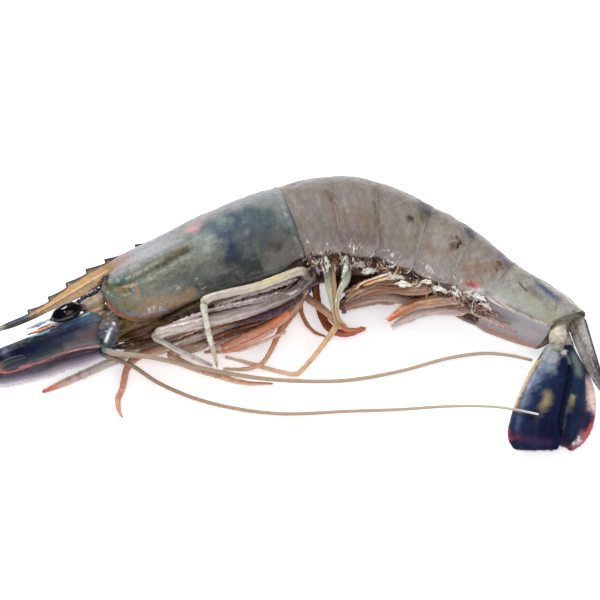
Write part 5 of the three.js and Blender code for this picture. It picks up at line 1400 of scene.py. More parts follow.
for name in ("antennal_scale_left", "antennal_scale_right"):
    skin, at, around, across = blade_skin(name, [(0.55, 0.35, 0.10), (-0.5, 0.25, 0.12)], veins=0.04)
    coat = Paint(skin, "#27304a")
    coat.over("#52545c", fall(at, 0.8, 2.2))
    if name.endswith("left"):
        coat.strokes(SCALE_STROKES, lambda *places: on_limb(name, *places))
    else:
        # the dark band next to the left scale's edge is painted shade for the shadow it throws; the pale
        # outer edge is the scale's own thin rim
        reach = 0.18 * ease(at, 3.0, 6.0)
        coat.over("#574a58", 0.95 * ease(-across + reach, -0.3, 0.35))
        coat.cloud("#2c2434", 2.5, 0.5, 1.0, 2.0)
        coat.over("#9a8f9c", 0.9 * ease(-across + reach, 0.45, 0.75))
        coat.over("#cfc8d0", ease(-across + reach, 0.72, 0.98))
    scale = Piece(name + "_skin")
    scale.tube(skin, coat.rgb, 0.8)
    hair = "#7a4a44" if name.endswith("left") else "#dcd4da"
    fringe(scale, name, -1, 2.0, 6.2, 200, 0.7, hair)
    tip_fringe(scale, name, 60, 0.8, "#8a6458")
    scale.make(tail_finish, "scale", name)

# %% [markdown]
# The fan has two blades on each base. The outer ones lie over the inner ones here. They are nearly black
# blue, with yellow bars, a wine-red band near the end and a pale, torn patch on the lower right blade. The
# telson between them is a grey spike, hatched with fine slanting lines.

# %% The tail fan
TAIL_FAN = {  # base colour, ribs, strokes, colour of the fringe
    "uropod_left_outer": ("#0d1838", [(-0.55, 0.16, 0.14), (0.15, 0.12, 0.12)], [
        ("#1c3458", [(1.2, 100), (2.2, 110), (3.2, 120)], 2.6, 0.7, 1, 0.5),
        ("#35507c", [(2.2, 128), (3, 132), (3.6, 134)], 0.9, 0.6, 1, 0.6),
        ("#a3a6aa", [(0.1, 110), (0.4, 104), (0.8, 108)], 2, 0.95, 0.9, 0.3),
        ("#d8d2d0", [(0, 60), (0.14, 52)], 0.9, 0.9, 0.8, 0.6),
        ("#8d9698", [(0.05, 130), (0.3, 120), (0.5, 100)], 1.6, 0.9, 1, 0.3),
        ("#4c5454", [(0.75, 130), (0.8, 105), (0.7, 80)], 0.4, 0.7, 0.9, 0.6),
        ("#767c7c", [(0.9, 100), (1, 84)], 0.8, 0.6, 0.9, 0.6),
        ("#6b7268", [(0.3, 20), (0.5, 16)], 0.8, 0.8, 0.9, 0.4),
        ("#74839a", [(0.9, 112), (1.3, 124), (1.8, 138)], 1.9, 0.85, 0.9, 0.5),
        ("#5a6478", [(1.7, 140), (2.3, 144), (2.8, 142)], 1.7, 0.8, 0.9, 0.5),
        ("#16213f", [(1.4, 70), (2, 60)], 1.2, 0.7, 0.9, 0.5),
        ("#a08c5c", [(1.85, 80), (2.1, 77), (2.4, 82)], 1.2, 0.9, 1, 0.2),
        ("#6c6a62", [(2.4, 84), (3, 88)], 0.9, 0.5, 0.9, 0.6),
        ("#c2a565", [(0.7, 160), (1.3, 166), (2, 168), (2.7, 166)], 0.75, 0.9, 0.8, 0.4),
        ("#0e1438", [(3, 100), (3.5, 96)], 3.2, 0.85, 0.9, 0.4),
        ("#060b2b", [(3.4, 60), (4, 58)], 2.6, 0.8, 0.9, 0.3),
        ("#2f2548", [(3.9, 120), (4.2, 112), (4.4, 96), (4.5, 80), (4.5, 60)], 1.2, 0.75, 0.9, 0.5),
        ("#5c2138", [(4, 158), (4.05, 140), (4.15, 112)], 0.7, 0.8, 1, 0.6),
        ("#3c1e40", [(4.2, 104), (4.3, 80), (4.35, 56)], 0.8, 0.6, 1, 0.6),
        ("#8a3048", [(3.7, 172), (4, 166), (4.2, 156)], 0.5, 0.7, 0.9, 0.5),
        ("#05060f", [(0.6, 30), (1.9, 24), (2.8, 30), (3.8, 22)], 0.45, 0.9, 0.6, 0.3),
    ], "#4c2236"),
    "uropod_left_inner": ("#1c2a44", [(0, 0.14, 0.14)], [
        ("#65706a", [(0.4, 60), (0.8, 56), (1.2, 56)], 1.2, 0.9, 0.9, 0.4),
        ("#26344a", [(1.2, 100), (1.6, 110)], 1, 0.7, 0.9, 0.4),
        ("#8f8458", [(2.25, 82), (2.5, 84), (2.9, 84)], 0.75, 0.9, 0.8, 0.5),
        ("#0a1030", [(2.8, 80), (3.5, 80), (4.2, 80)], 2.2, 0.9, 0.9, 0.3),
        ("#060a1c", [(0.6, 150), (1.8, 156), (3, 156), (4.2, 150)], 0.5, 0.9, 0.6, 0.3),
        ("#3c4a60", [(0.9, 22), (1.6, 20), (2.4, 24)], 0.3, 0.5, 0.8, 0.3),
        ("#1c0c28", [(4.3, 130), (4.6, 90), (4.6, 50)], 1.4, 0.8, 0.9, 0.5),
        ("#5c2238", [(4.85, 120), (4.9, 90), (4.9, 60)], 0.35, 0.5, 0.9, 0.5),
    ], "#5c2838"),
    "uropod_right_outer": ("#3a3756", [(0.2, 0.25, 0.1)], [
        ("#efcfc6", [(1.2, 50), (1.8, 50), (2.3, 46)], 1.7, 0.95, 0.9, 0.4),
        ("#3a3756", [(2.5, 76), (3, 76)], 1.5, 0.8, 0.9, 0.4),
        ("#a83a4c", [(2.9, 6), (3.5, 12), (4.2, 20), (4.8, 50), (4.9, 90)], 0.9, 0.9, 0.8, 0.4),
        ("#b07a86", [(3.7, 50), (4.2, 56), (4.5, 60)], 1.2, 0.85, 0.9, 0.5),
        ("#f0d8da", [(4.1, 44), (4.4, 50)], 0.5, 0.8, 0.8, 0.8),
        ("#d48a96", [(4, 100), (4.4, 90)], 0.6, 0.7, 0.8, 0.4),
        ("#1c1838", [(2.6, 62), (2.95, 56), (3.3, 60)], 1, 0.85, 0.9, 0.4),
        ("#c4583c", [(3.1, 28), (3.5, 32), (3.9, 42)], 0.5, 0.9, 0.7, 0.5),
        # painted glints: the two white marks
        ("#ffffff", [(4, 62), (4.15, 56)], 0.35, 0.95, 0.5, 0.6),
        ("#ffffff", [(4.5, 66), (4.62, 58)], 0.3, 0.9, 0.5, 0.6),
        ("#5a1c30", [(3.9, 90), (4.3, 76), (4.7, 80)], 0.3, 0.8, 0.6, 0.5),
    ], "#b0485a"),
    "uropod_right_inner": ("#1c2440", [(0, 0.25, 0.1)], [
        ("#7a2a42", [(3.6, 130), (3.8, 90), (3.8, 50)], 0.9, 0.8, 0.9, 0.5),
    ], "#a0445a"),
}
print("marks on the fan:", sum(len(strokes) for _, _, strokes, _ in TAIL_FAN.values()))

# %% Make the fan
for name, (base, ribs, strokes, hair) in TAIL_FAN.items():
    skin, at, around, across = blade_skin(name, ribs)
    coat = Paint(skin, base)
    coat.strokes(strokes, lambda *places: on_limb(name, *places))
    fan = Piece(name + "_skin")
    fan.tube(skin, coat.rgb, 0.75)
    last = len(LIMBS[name]["path"]) - 1
    for side in (-1, 1):
        fringe(fan, name, side, last * 0.6, last, 90, 0.55, hair)
    tip_fringe(fan, name, 130, 0.6, hair)
    fan.make(tail_finish, "tail_shell", name)

# %% Telson and the bases of the fan
TELSON_RIBS = [(0.0, -0.25, 0.14), (-0.5, 0.18, 0.14), (0.5, 0.18, 0.14)]
skin, at, around, across = blade_skin("telson", TELSON_RIBS, veins=0.0)
coat = Paint(skin, "#7c7472")
coat.run(at, [(0, "#8f8878"), (0.8, "#a5a2a0"), (1.8, "#7c746c"), (2.5, "#6c6468"), (3, "#7a4a52")])
slanting = 2.2 * at + 0.9 * across
hatch = np.sin(slanting * 14 + 1.5 * ripple(skin, 1.5)) * ease(coarse_ripple(skin, 2.6, 5.0), -0.3, 0.6)
coat.over("#4c4640", 0.5 * ease(hatch, 0.1, 0.9))
coat.over("#d6d2cc", 0.4 * ease(-hatch, 0.35, 1.0))
coat.cloud("#4c463c", 1.6, 0.7, 1.0, 3.0)
coat.cloud("#c4c0be", 1.1, 0.6, 1.0, 6.0)
coat.cloud("#8a8468", 1.4, 0.4, 1.0, 8.0)
coat.stroke("#1e1c22", on_limb("telson", (0, 176), (1, 176), (2, 176), (2.8, 176)), 0.4, 0.85, 0.6, 0.2)
coat.stroke("#23232c", on_limb("telson", (0, 4), (1, 4), (2, 4), (2.8, 4)), 0.45, 0.85, 0.6, 0.2)
coat.stroke("#1c2440", on_limb("telson", (1.6, 40), (2.2, 36), (2.8, 30)), 0.55, 0.9, 0.8, 0.3)
# painted highlight: a pale streak along the telson
coat.stroke("#e2dcd8", on_limb("telson", (0.9, 130), (1.6, 132), (2.2, 128)), 0.3, 0.7, 0.8, 0.6)
telson = Piece("telson_skin")
telson.tube(skin, coat.rgb, 0.6)
telson.make(tail_finish, "shell", "telson")
for name in ("tail_base_left", "tail_base_right"):
    skin, at, around, run = limb_skin(LIMBS[name], step=0.2, sides=40, end=0.9)
    skin = skin + outward(skin) * (0.14 * coarse_ripple(skin, 3.2))[..., None]
    coat = Paint(skin, "#b8b2a0")
    coat.run(at, [(0, "#a89e90"), (0.8, "#cfcabc"), (1.4, "#b4aa9a"), (2, "#7c7c80")])
    bands = np.sin(at * 16 + 1.2 * ripple(skin, 2.4))
    coat.over("#a4b08c", 0.5 * ease(bands, 0.2, 0.9))
    coat.over("#d8a898", 0.45 * ease(-bands, 0.3, 0.9))
    coat.cloud("#f2efe8", 1.2, 0.5, ease(at, 0.3, 0.7), 5.0)
    coat.cloud("#6c5f56", 1.4, 0.5, 1.0, 7.0)
    coat.stroke("#7c7162", on_limb(name, (0.4, 0), (1.2, 20), (1.8, 40)), 0.6, 0.7, 0.8, 0.5)
    coat.stroke("#4c4a4c", on_limb(name, (1.75, 60), (1.85, 120), (1.85, 170)), 0.35, 0.6, 0.8, 0.4)
    base = Piece(name + "_skin")
    base.tube(skin, coat.rgb, 0.7)
    base.make(tail_finish, "shell", name)

# %% [markdown]
# ## Antenna bases, jaws and gills
#
# Between the shell's lower edge and the legs lies soft dark tissue, with gills and the roots of the legs.
# The jaws are a pack of brown leaves. These are made as a body with several smaller lobes on it, all in
# one piece, so the outline is broken up as it is in a real prawn.

# %% Antenna bases
for name in ("antenna_base_left", "antenna_base_right"):
    skin, at, around, run = limb_skin(LIMBS[name], step=0.2, sides=44, joints=(1.25,), end=0.7)
    skin = skin + outward(skin) * (0.12 * coarse_ripple(skin, 3.0))[..., None]
    coat = Paint(skin, "#5d5858")
    coat.run(at, [(0, "#54443c"), (0.5, "#66564e"), (0.9, "#6e6468"), (1.3, "#5a5c68"), (1.7, "#3e505a"),
                  (1.9, "#1c3034")])
    coat.cloud("#33282a", 3.0, 0.6, 1.0, 2.0)
    coat.cloud("#a09a98", 1.6, 0.35, 1.0, 5.0)
    # painted highlight: a white glint streak with a blue-grey halo
    coat.stroke("#8a96a8", on_limb(name, (0.85, 330), (1.5, 344), (1.95, 352)), 0.75, 0.7, 0.8, 0.3)
    coat.stroke("#ffffff", on_limb(name, (0.8, 330), (1.3, 342), (1.9, 353)), 0.36, 1.0, 0.5, 0.2)
    coat.stroke("#b08c72", on_limb(name, (0.5, 250), (1.0, 250), (1.5, 240)), 0.8, 0.7, 0.9, 0.4)
    coat.stroke("#b7a58e", on_limb(name, (0.2, 200), (0.8, 190)), 0.9, 0.6, 0.9, 0.4)
    joint = on_limb(name, (1.3, 0), (1.32, 60), (1.3, 120), (1.32, 180), (1.3, 240), (1.3, 300))
    coat.stroke("#17282c", joint, 0.22, 0.9, 0.5, 0.3)
    base = Piece(name + "_skin")
    base.tube(skin, coat.rgb, 0.95)
    base.make(flesh_finish, "pink_limb", name)

# %% A lobe
def lobe(piece, path, wide, thick, across, shades, dark, wet=0.7, streaks=0.0, step=0.3, sides=20,
         ripples=0.08):
    """One soft leaf or strand, swept like a limb, added to a piece."""
    limb = dict(path=path, wide=wide, thick=thick, across=across)
    skin, at, around, run = limb_skin(limb, step=step, sides=sides)
    skin = skin + outward(skin) * (ripples * coarse_ripple(skin, 1.6))[..., None]
    coat = Paint(skin, dark)
    coat.run(at, [(k * (len(path) - 1) / max(len(shades) - 1, 1), shade) for k, shade in enumerate(shades)])
    # painted shade: the skin takes the dark colour where it faces down
    facing = outward(skin)[..., 2]
    coat.over(dark, 0.7 * fall(facing, -0.5, 0.4))
    if streaks:
        lines = np.sin(np.radians(around) * 5 + 1.5 * ripple(skin, 5.0))
        coat.over(dark, streaks * ease(lines, 0.3, 0.9))
    piece.tube(skin, coat.rgb, wet)


def plain_piece(name, body_shades, dark, streaks=0.5, ripples=0.2):
    """The main body of a soft piece, with streaks along it."""
    limb = LIMBS[name]
    skin, at, around, run = limb_skin(limb, step=0.35, sides=56)
    skin = skin + outward(skin) * (ripples * coarse_ripple(skin, 2.6))[..., None]
    coat = Paint(skin, dark)
    coat.run(at, body_shades)
    coat.over(dark, streaks * ease(ripple(skin, 3.0), 0.0, 0.7))
    piece = Piece(name + "_skin")
    piece.tube(skin, coat.rgb, 0.7)
    return piece


print("lobes are ready")

# %% [markdown]
# The flesh behind the legs is worn open. Flat layers run beside the carapace's lower edge, each at its own
# drop below it, then thin strands are drawn at random over them. The same lobe makes the soft skin behind the
# eye, a dark beaded strand that is painted shade for the eye socket, and the leaves of the jaws.

# %% The tissue behind the legs
EDGE_STEPS = 6


def beside_edge(stations, drops, inward, wobble=0.0):
    """A path along the carapace's lower edge: `drops` below it and `inward` of it, both in millimetres."""
    at = np.linspace(*stations, EDGE_STEPS)
    drop = np.interp(np.linspace(0, 1, EDGE_STEPS), np.linspace(0, 1, len(drops)), drops)
    drop = drop + wobble * rng.normal(size=EDGE_STEPS)
    path = shell_point(at, EDGE_ANGLE) - body_axes(at)[0] * drop[:, None]
    path[:, 2] -= inward
    return path


THORAX_TONES = [(0, "#5a4637"), (1, "#5f4b42"), (2, "#6c5a50"), (3, "#77665a"), (4, "#7a6654")]
thorax = plain_piece("thorax", THORAX_TONES, "#2c1c12")
FACING = (0.4, -0.85, 0.2)
LAYERS = [  # stations, drops below the edge, inward, half width, colours from front to back
    ((1.9, 3.9), (0.1, 0.3, 0.2), 1.3, 0.75, ["#24120a", "#3a2610", "#5a4a1c", "#5c4c1e", "#4a3a1c"]),
    ((3.2, 5), (0.9, 1.3, 1), 2.4, 0.6, ["#a8766a", "#8c6a66", "#6a4a48", "#54403c"]),
    ((3.7, 6.5), (1.9, 1.5, 3), 2.8, 0.95, ["#a5a08c", "#b9b0a4", "#b3a29e", "#c4b6b4", "#a8989a"]),
    ((3.2, 6.2), (2.5, 3.9, 4.9), 3.1, 0.85, ["#bf9a92", "#b9a8a2", "#c2b4b2", "#b09e9e", "#8c7674"]),
    ((3.4, 5.6), (3.4, 5.2, 5.8), 4.4, 0.7, ["#8a6c68", "#a99592", "#bcaeac", "#7c6664"]),
    ((5.3, 6.5), (4.5, 5.2, 5.6), 3.3, 0.55, ["#8c7674", "#c8bcba", "#f6f2ee", "#b0a2a0"]),
    ((3.9, 6.4), (6.9, 7.4, 7), 5.6, 1.35, ["#6a4630", "#55383c", "#4c3240", "#5c4448", "#6e5650"]),
    ((4.6, 6.6), (5.8, 6.2, 6.4), 5.8, 1.3, ["#54383e", "#7c6260", "#846a66", "#6c5450"]),
    ((2.6, 4.6), (4.9, 5.9, 6.6), 5, 0.8, ["#8a6a4c", "#a88a78", "#6e4c30", "#5a3c28"]),
    ((1.9, 3.6), (2.2, 2.8, 3), 2.2, 0.8, ["#c8b4ac", "#b8a0a0", "#c9b8b6", "#b8a8a4"]),
    ((2, 3.8), (4.6, 5.4, 5.8), 4.6, 0.6, ["#8f6a50", "#c49c8c", "#b9a09a", "#9a8078"]),
    ((2.1, 4), (5.8, 6.6, 7.2), 5.4, 0.6, ["#d8c8c0", "#c8b4a8", "#b89484", "#9a6a50"]),
]
for stations, drops, inward, wide, shades in LAYERS:
    ends = np.array([0.5, 0.9, 1, 1, 0.9, 0.5])
    lobe(thorax, beside_edge(stations, drops, inward, 0.08), wide * ends, wide * 0.55 * ends, FACING, shades,
         "#6e5654", streaks=0.38, ripples=0.24, sides=26)
print("layers of flesh:", len(LAYERS))

# %% Strands over it
STRAND_TONES = [
    ["#a69897", "#c9bdb9"], ["#8c7674", "#a89694"], ["#d8cecb", "#b9a9a6"], ["#7d6764", "#8f7a74"],
    ["#b98f86", "#9a8078"], ["#9a9a88", "#b4b0a2"],
]
STRANDS = 34
for k in range(STRANDS):
    first = rng.uniform(2.2, 5.2)
    drop = rng.uniform(1.6, 6.4)
    stations = (first, min(first + rng.uniform(0.9, 2.2), 6.7))
    path = beside_edge(stations, (drop, drop + rng.uniform(-0.2, 1.1)), 2.4 + 0.55 * drop, 0.14)
    ends = np.array([0.5, 1, 1, 1, 0.8, 0.4])
    shades = STRAND_TONES[k % len(STRAND_TONES)]
    lobe(thorax, path, rng.uniform(0.16, 0.36) * ends, 0.24 * ends, FACING, shades, "#75605c", streaks=0.2,
         ripples=0.1, sides=10)
# painted shade: these lobes are dark because the far side of the thorax lies in shade
SHADED = [  # path, half width, half thickness, colours: the far side of the thorax
    ([(1.5, -12.5, 8.5), (-6, -17.5, 8.2), (-16, -23, 8), (-27, -27.5, 7.5), (-35, -29.6, 6.8)], 1.7, 1.6,
        ["#6c5660", "#64505a", "#74605f", "#84706a", "#8c7668"]),
    ([(0, -14.5, 7.2), (-8, -20.5, 6.6), (-17, -25.5, 6.2), (-26, -28.8, 5.6)], 1.4, 1.3,
        ["#705a60", "#685458", "#786264", "#8c7464"]),
]
for path, wide, thick, shades in SHADED:
    ends = np.linspace(0.9, 0.5, len(path))
    lobe(thorax, path, wide * ends, thick * ends, FACING, shades, "#2a1c20", streaks=0.5, ripples=0.28,
         sides=30)
thorax.make(flesh_finish, "underside", "thorax")

# %% Soft skin behind the eye
BROW = [  # path, half width, ripples, colours
    ([(-51.6, -18.6, 13), (-54.4, -20.6, 13.4), (-57.6, -22.6, 13.6)], 1.5, 0.25,
        ["#b09680", "#c8ae96", "#94807a"]),
    ([(-51.4, -22.6, 12.6), (-54.2, -25, 12.8), (-57.2, -26.8, 12.8)], 1.6, 0.25,
        ["#c4a684", "#d6ba9e", "#a08e88"]),
    ([(-50.6, -24.8, 12.9), (-52.6, -26.4, 13.2), (-55.2, -27.6, 13)], 1.1, 0.2,
        ["#9a7a68", "#ae9082", "#7c7476"]),
    # painted shade: a dark beaded strand where the eye socket lies in shade
    ([(-51, -18.2, 15), (-53, -20.2, 15), (-55, -21.6, 15.1), (-57.4, -23, 15.2)], 0.8, 0.4,
        ["#14161c", "#20303c", "#101218", "#283a46", "#101218", "#30424c", "#14161c"]),
    ([(-51.4, -19.4, 15.2), (-54, -21.9, 15.2), (-57.4, -24, 15.2)], 0.16, 0.04, ["#e8ded4", "#d8c8b8"]),
    ([(-51.2, -20.6, 14), (-53.6, -22.4, 15.2), (-55.6, -23.4, 15.8)], 0.55, 0.2,
        ["#b89a78", "#d4bc9c", "#c4a88c"]),
    ([(-64.5, -27.6, 14.2), (-67, -28.8, 13.8), (-69.8, -29.6, 13.2)], 0.5, 0.15,
        ["#c8d0dc", "#8c9cb0", "#e4e8ee"]),
    ([(-63, -29.2, 14), (-66.4, -30.4, 13.8), (-69.4, -31.2, 13.2)], 0.4, 0.1,
        ["#8a5a40", "#e09a68", "#c0784c"]),
]
brow = Piece("brow")
for path, wide, ripples, shades in BROW:
    ends = np.r_[0.7, np.ones(len(path) - 2), 0.6]
    lobe(brow, path, wide * ends, wide * 0.8 * ends, UPRIGHT, shades, "#4a3c38", ripples=ripples, step=0.15,
         sides=24)
brow.make(flesh_finish, "underside")

# %% The jaws
mouth = plain_piece("mouthparts", [(0, "#5f4a2a"), (1, "#6b4c26"), (2, "#65522d"), (3, "#6d5a3c")], "#2c1a0c")
JAWS = [  # start, middle, end, half width, colours
    ((-34.5, -22.2, 12.6), (-38, -23.6, 13.6), (-42, -25, 13.2), 1.5, ["#7a5a30", "#674022"]),
    ((-35.5, -24.2, 12.8), (-40, -25.6, 13.9), (-45, -27.4, 13.2), 1.2, ["#8a6a38", "#5a3c1e"]),
    ((-36.5, -26.2, 12.2), (-41, -27.6, 13.2), (-46.5, -29.2, 12.4), 1, ["#53391a", "#7d6236"]),
    ((-34, -26.4, 12), (-38.5, -28.4, 12.9), (-44, -30.4, 12), 0.9, ["#8c6c44", "#4f341f"]),
    ((-42.5, -24.4, 12.8), (-45.5, -26.6, 13.6), (-47.5, -29.6, 12.8), 1.1, ["#7c6a4c", "#5c4630"]),
    ((-44.6, -23.6, 12.8), (-47, -26.2, 13.4), (-48.8, -28.8, 12.8), 0.9, ["#a08a62", "#6e5636"]),
    ((-38, -28.6, 11.4), (-42, -30.2, 11.8), (-47, -31.6, 11), 0.7, ["#5a3c1e", "#6e4e30"]),
    ((-38, -28.2, 12.6), (-43, -30.1, 12.2), (-47, -31.3, 10.8), 0.95, ["#7a4c26", "#472d0d", "#3e220c"]),
    ((-37, -29.2, 11.5), (-41.5, -30.6, 10.8), (-45.5, -31.6, 9.8), 0.85,
        ["#835c46", "#5a3418", "#4a2a12"]),
    ((-38.5, -27.2, 13.3), (-43.5, -28.8, 13), (-47.6, -30.2, 12.2), 0.95,
        ["#70461e", "#62401a", "#5f451c"]),
    ((-39, -26, 13.8), (-44, -27.4, 13.6), (-47.8, -28.8, 13), 0.9, ["#5a4318", "#6b5422", "#75652c"]),
    ((-36.5, -29.8, 10.5), (-40.5, -31, 9.6), (-44, -31.8, 8.8), 0.7, ["#8a6450", "#5a3a20"]),
    ((-37, -30.4, 9.6), (-42, -32.4, 10), (-47.8, -33.6, 10.8), 1.1, ["#6a4a30", "#472d0d", "#3e220c"]),
    ((-36, -29.6, 8.6), (-41, -31.6, 9), (-46.8, -32.6, 10), 1.2, ["#7a583a", "#4a2d12", "#3a200c"]),
    ((-34.5, -28.4, 9.6), (-39.5, -30.2, 9.8), (-45.5, -32, 10.4), 1.1, ["#8c6c5a", "#5a3a1c", "#4a2d12"]),
]
for start, middle, end, wide, shades in JAWS:
    lobe(mouth, [start, middle, end], [wide * 0.8, wide, wide * 0.4], [wide * 0.55, wide * 0.6, 0.25],
         (0, 1, 0.2), shades, "#2a1809", streaks=0.65)
mouth.make(flesh_finish, "underside", "mouthparts")

# %% [markdown]
# ## Swimmerets
#
# Each swimmeret is a stout base and one or two thin blades with a fringe. In a dead prawn they stick
# together in wet strands, from mint white near the body to coral red at the tips.

# %% Swimmerets
SWIMMERETS = {  # slot, colours along it, shade, loose strands as (sideways, up, colours), fringe colour
    "swimmeret_1_left": ("pale_limb", ["#b9b0a0", "#c9d0bb", "#cfc8ad", "#d0a680", "#cf6a45", "#c8472c"],
        "#8c6a4c", [(-0.9, 0.4, ["#bfc7b4", "#d5c9a8", "#cf9468", "#d2573a"]),
        (0.9, 0.3, ["#c6baa4", "#d8c49c", "#d2885a", "#c8432a"]),
        (1.8, -0.6, ["#a58a70", "#c29a74", "#c4683f"])], "#d28a68"),
    "swimmeret_1_right": ("orange_limb", ["#8c5a3c", "#96502c", "#96401d", "#a84a2a", "#cc6a4c", "#dd7256"],
        "#5c2a14", [(0.8, 0.3, ["#a8704c", "#a04a28", "#d5765a"])], "#d27a5c"),
    "swimmeret_2_left": ("pale_limb", ["#c2b6a8", "#ccd2c0", "#d2d4c0", "#d6cfb2", "#d9b68c", "#dca070"],
        "#8f765c",
        [(-0.8, 0.3, ["#c4ccb8", "#d8d0b0", "#d9a878"]), (0.9, 0.2, ["#cbbfae", "#dcc9a0", "#d89a68"])],
        "#dcae88"),
    "swimmeret_2_right": ("orange_limb", ["#a87a54", "#b9794c", "#c9824e", "#d08a58", "#cf7a4a", "#c4603a"],
        "#8a4f2c", [(0.7, 0.2, ["#b98a60", "#cf8a58"])], "#d28a60"),
    "swimmeret_3_left": ("orange_limb", ["#8a6448", "#74503a", "#5c3c26", "#4a2e1c"], "#3c2416",
        [(0.7, 0.9, ["#fff0dc", "#f8dcb8", "#f0cca0", "#d8a878"]),
        (-0.3, 0.8, ["#f0c89c", "#e8a870", "#c08858"]), (-0.9, 0.2, ["#7a5c40", "#94683e"])], "#d8b898"),
    "swimmeret_4_left": ("orange_limb", ["#c8a088", "#a87458", "#9c6850", "#a07258", "#7a4e34"], "#5c3a2c",
        [(0.9, 0.6, ["#f8e0c0", "#eab884", "#d8a070", "#b88458"]),
        (-0.9, 0.1, ["#d0a890", "#a87458", "#7a4e3c"]),
        (0, 0.9, ["#b08c78", "#a06c58", "#d0a88c", "#c8a088"]),
        (-0.5, 0.7, ["#b8907c", "#a0705c", "#c49c84", "#8c6450"])], "#e0c4b0"),
    "swimmeret_5_left": ("orange_limb", ["#dcb8a4", "#cfa284", "#bc8a5c", "#d87848", "#f4744a"], "#8a5644",
        [(0.8, 0.4, ["#e0bc9c", "#b8803c", "#c08040", "#f08a58"]),
        (-0.9, 0.1, ["#d0aca0", "#cc9c88", "#ec8460"]),
        (0.1, 0.8, ["#e8c8b4", "#d8a888", "#c89068", "#f07c50"])], "#f0c8b0"),
    "swimmeret_3_right": ("pink_limb", ["#b8947c", "#c49c80", "#c8a084"], "#8a6048", [], "#dcc0ac"),
    "swimmeret_4_right": ("pink_limb", ["#c09c8c", "#ccaa98", "#a87864"], "#8a5c4c",
        [(-0.8, 0.2, ["#e0c8bc", "#c8a498"])], "#e0c8c0"),
    "swimmeret_5_right": ("pink_limb", ["#dcc0b8", "#e8d0c8", "#f2dcd4", "#f8e8e2"], "#b8988c",
        [(-0.9, 0, ["#ecd4cc", "#fbe8e2"]), (0.6, 0.4, ["#c8a090", "#dcb8a8"])], "#f6e4e0"),
}
print("swimmerets:", len(SWIMMERETS))

# %% Make the swimmerets
BODY_SHARE = 0.86
for name, (slot, shades, dark, strands, hair) in SWIMMERETS.items():
    limb = LIMBS[name]
    last = len(limb["path"]) - 1
    piece = Piece(name + "_skin")
    thick = limb.get("thick", limb["wide"])
    start = np.array(limb["path"][0])
    root = start + unit(start - np.array(limb["path"][1])) * 1.2 + np.array([0.5, 3.2, 0.2])
    across = limb.get("across", UPRIGHT)
    wide, thick = (BODY_SHARE * np.array(widths[:1] + widths) for widths in (limb["wide"], thick))
    lobe(piece, [root, *limb["path"]], wide, thick, across, [dark, *shades], dark, streaks=0.35, step=0.28,
         sides=26)
    for sideways, up, tones in strands:
        at = np.linspace(0.3, last - 0.15, 7)
        centre, along, side, flat, wide, thin = axes(limb, at)
        rise = np.where(flat[:, 2:] < 0, -1, 1)
        path = centre + side * (sideways * wide)[:, None] * 0.75 + flat * rise * (up * thin)[:, None]
        path = path + 0.12 * rng.normal(size=path.shape)
        path[:, 2] = np.maximum(path[:, 2], 0.5)
        lobe(piece, path, wide * 0.3, thin * 0.36, across, tones, dark, sides=14, streaks=0.2)
    at = np.sort(rng.uniform(last * 0.35, last, 150))
    centre, along, side, flat, wide, thin = axes(limb, at)
    sign = rng.choice([-1.0, 1.0], len(at))
    roots = centre + side * (sign * wide * 0.75)[:, None]
    ways = along * 1.1 + side * (sign * 0.7)[:, None] + flat * rng.normal(0, 0.2, (len(at), 1))
    ways[:, 2] = np.maximum(ways[:, 2], -0.1)
    bristles(piece, roots, ways, rng.uniform(0.5, 1.2, len(at)), 0.045, hair)
    piece.make(limb_finish, slot, name)

# %% [markdown]
# ## Membranes and loose strands
#
# Under the lower edge of each ring hang the flat bases of the swimmerets and torn, wet membranes. Cloth
# would be an honest way to make them, but they are stuck together in clumps, so they are small lobes at
# drawn places along the edge: dark tissue first, then frills, pale leaves, and white patches that are
# painted glints of the wet edge. The muscle of the third right leg has split into strands, orange and pink,
# with one bright blunt end.

# %% Lobes under the rings
membranes = Piece("membranes")
HANG_ANGLE = 142


def hang(station, inward, down, reach, sideways, wide, shades, dark, sides=16, above=1.0):
    """A lobe that hangs from the lower edge of a ring."""
    back, along = body_axes(station)
    start = shell_point(station, HANG_ANGLE) - back * down - np.array([0, 0, inward])
    path = [start + back * above, start - back * reach * 0.5 + along * sideways * 0.3,
            start - back * reach + along * sideways - np.array([0, 0, 0.4])]
    lobe(membranes, path, [wide, wide * 0.9, wide * 0.35], [0.5, 0.45, 0.25], along, shades, dark, wet=0.95,
         streaks=0.3, step=0.25, sides=sides, ripples=0.12)


def patch(station, inward, down, along_half, tall, lean, shades, dark):
    """A flat leaf that lies along the lower edge of a ring, `along_half` millimetres to each side."""
    back, along = body_axes(station)
    middle = shell_point(station, HANG_ANGLE) - back * down - np.array([0, 0, inward])
    path = [middle + along * along_half * s + back * (lean * s + 0.25 * math.cos(2.4 * s))
            for s in (-1, -0.4, 0.3, 1)]
    tall = tall * np.array([0.4, 1, 0.9, 0.3])
    lobe(membranes, path, tall, [0.3, 0.45, 0.4, 0.2], back, shades, dark, wet=0.95, streaks=0.6, step=0.25,
         sides=22, ripples=0.4)


print("the tissue hangs from", HANG_ANGLE, "degrees off the back")

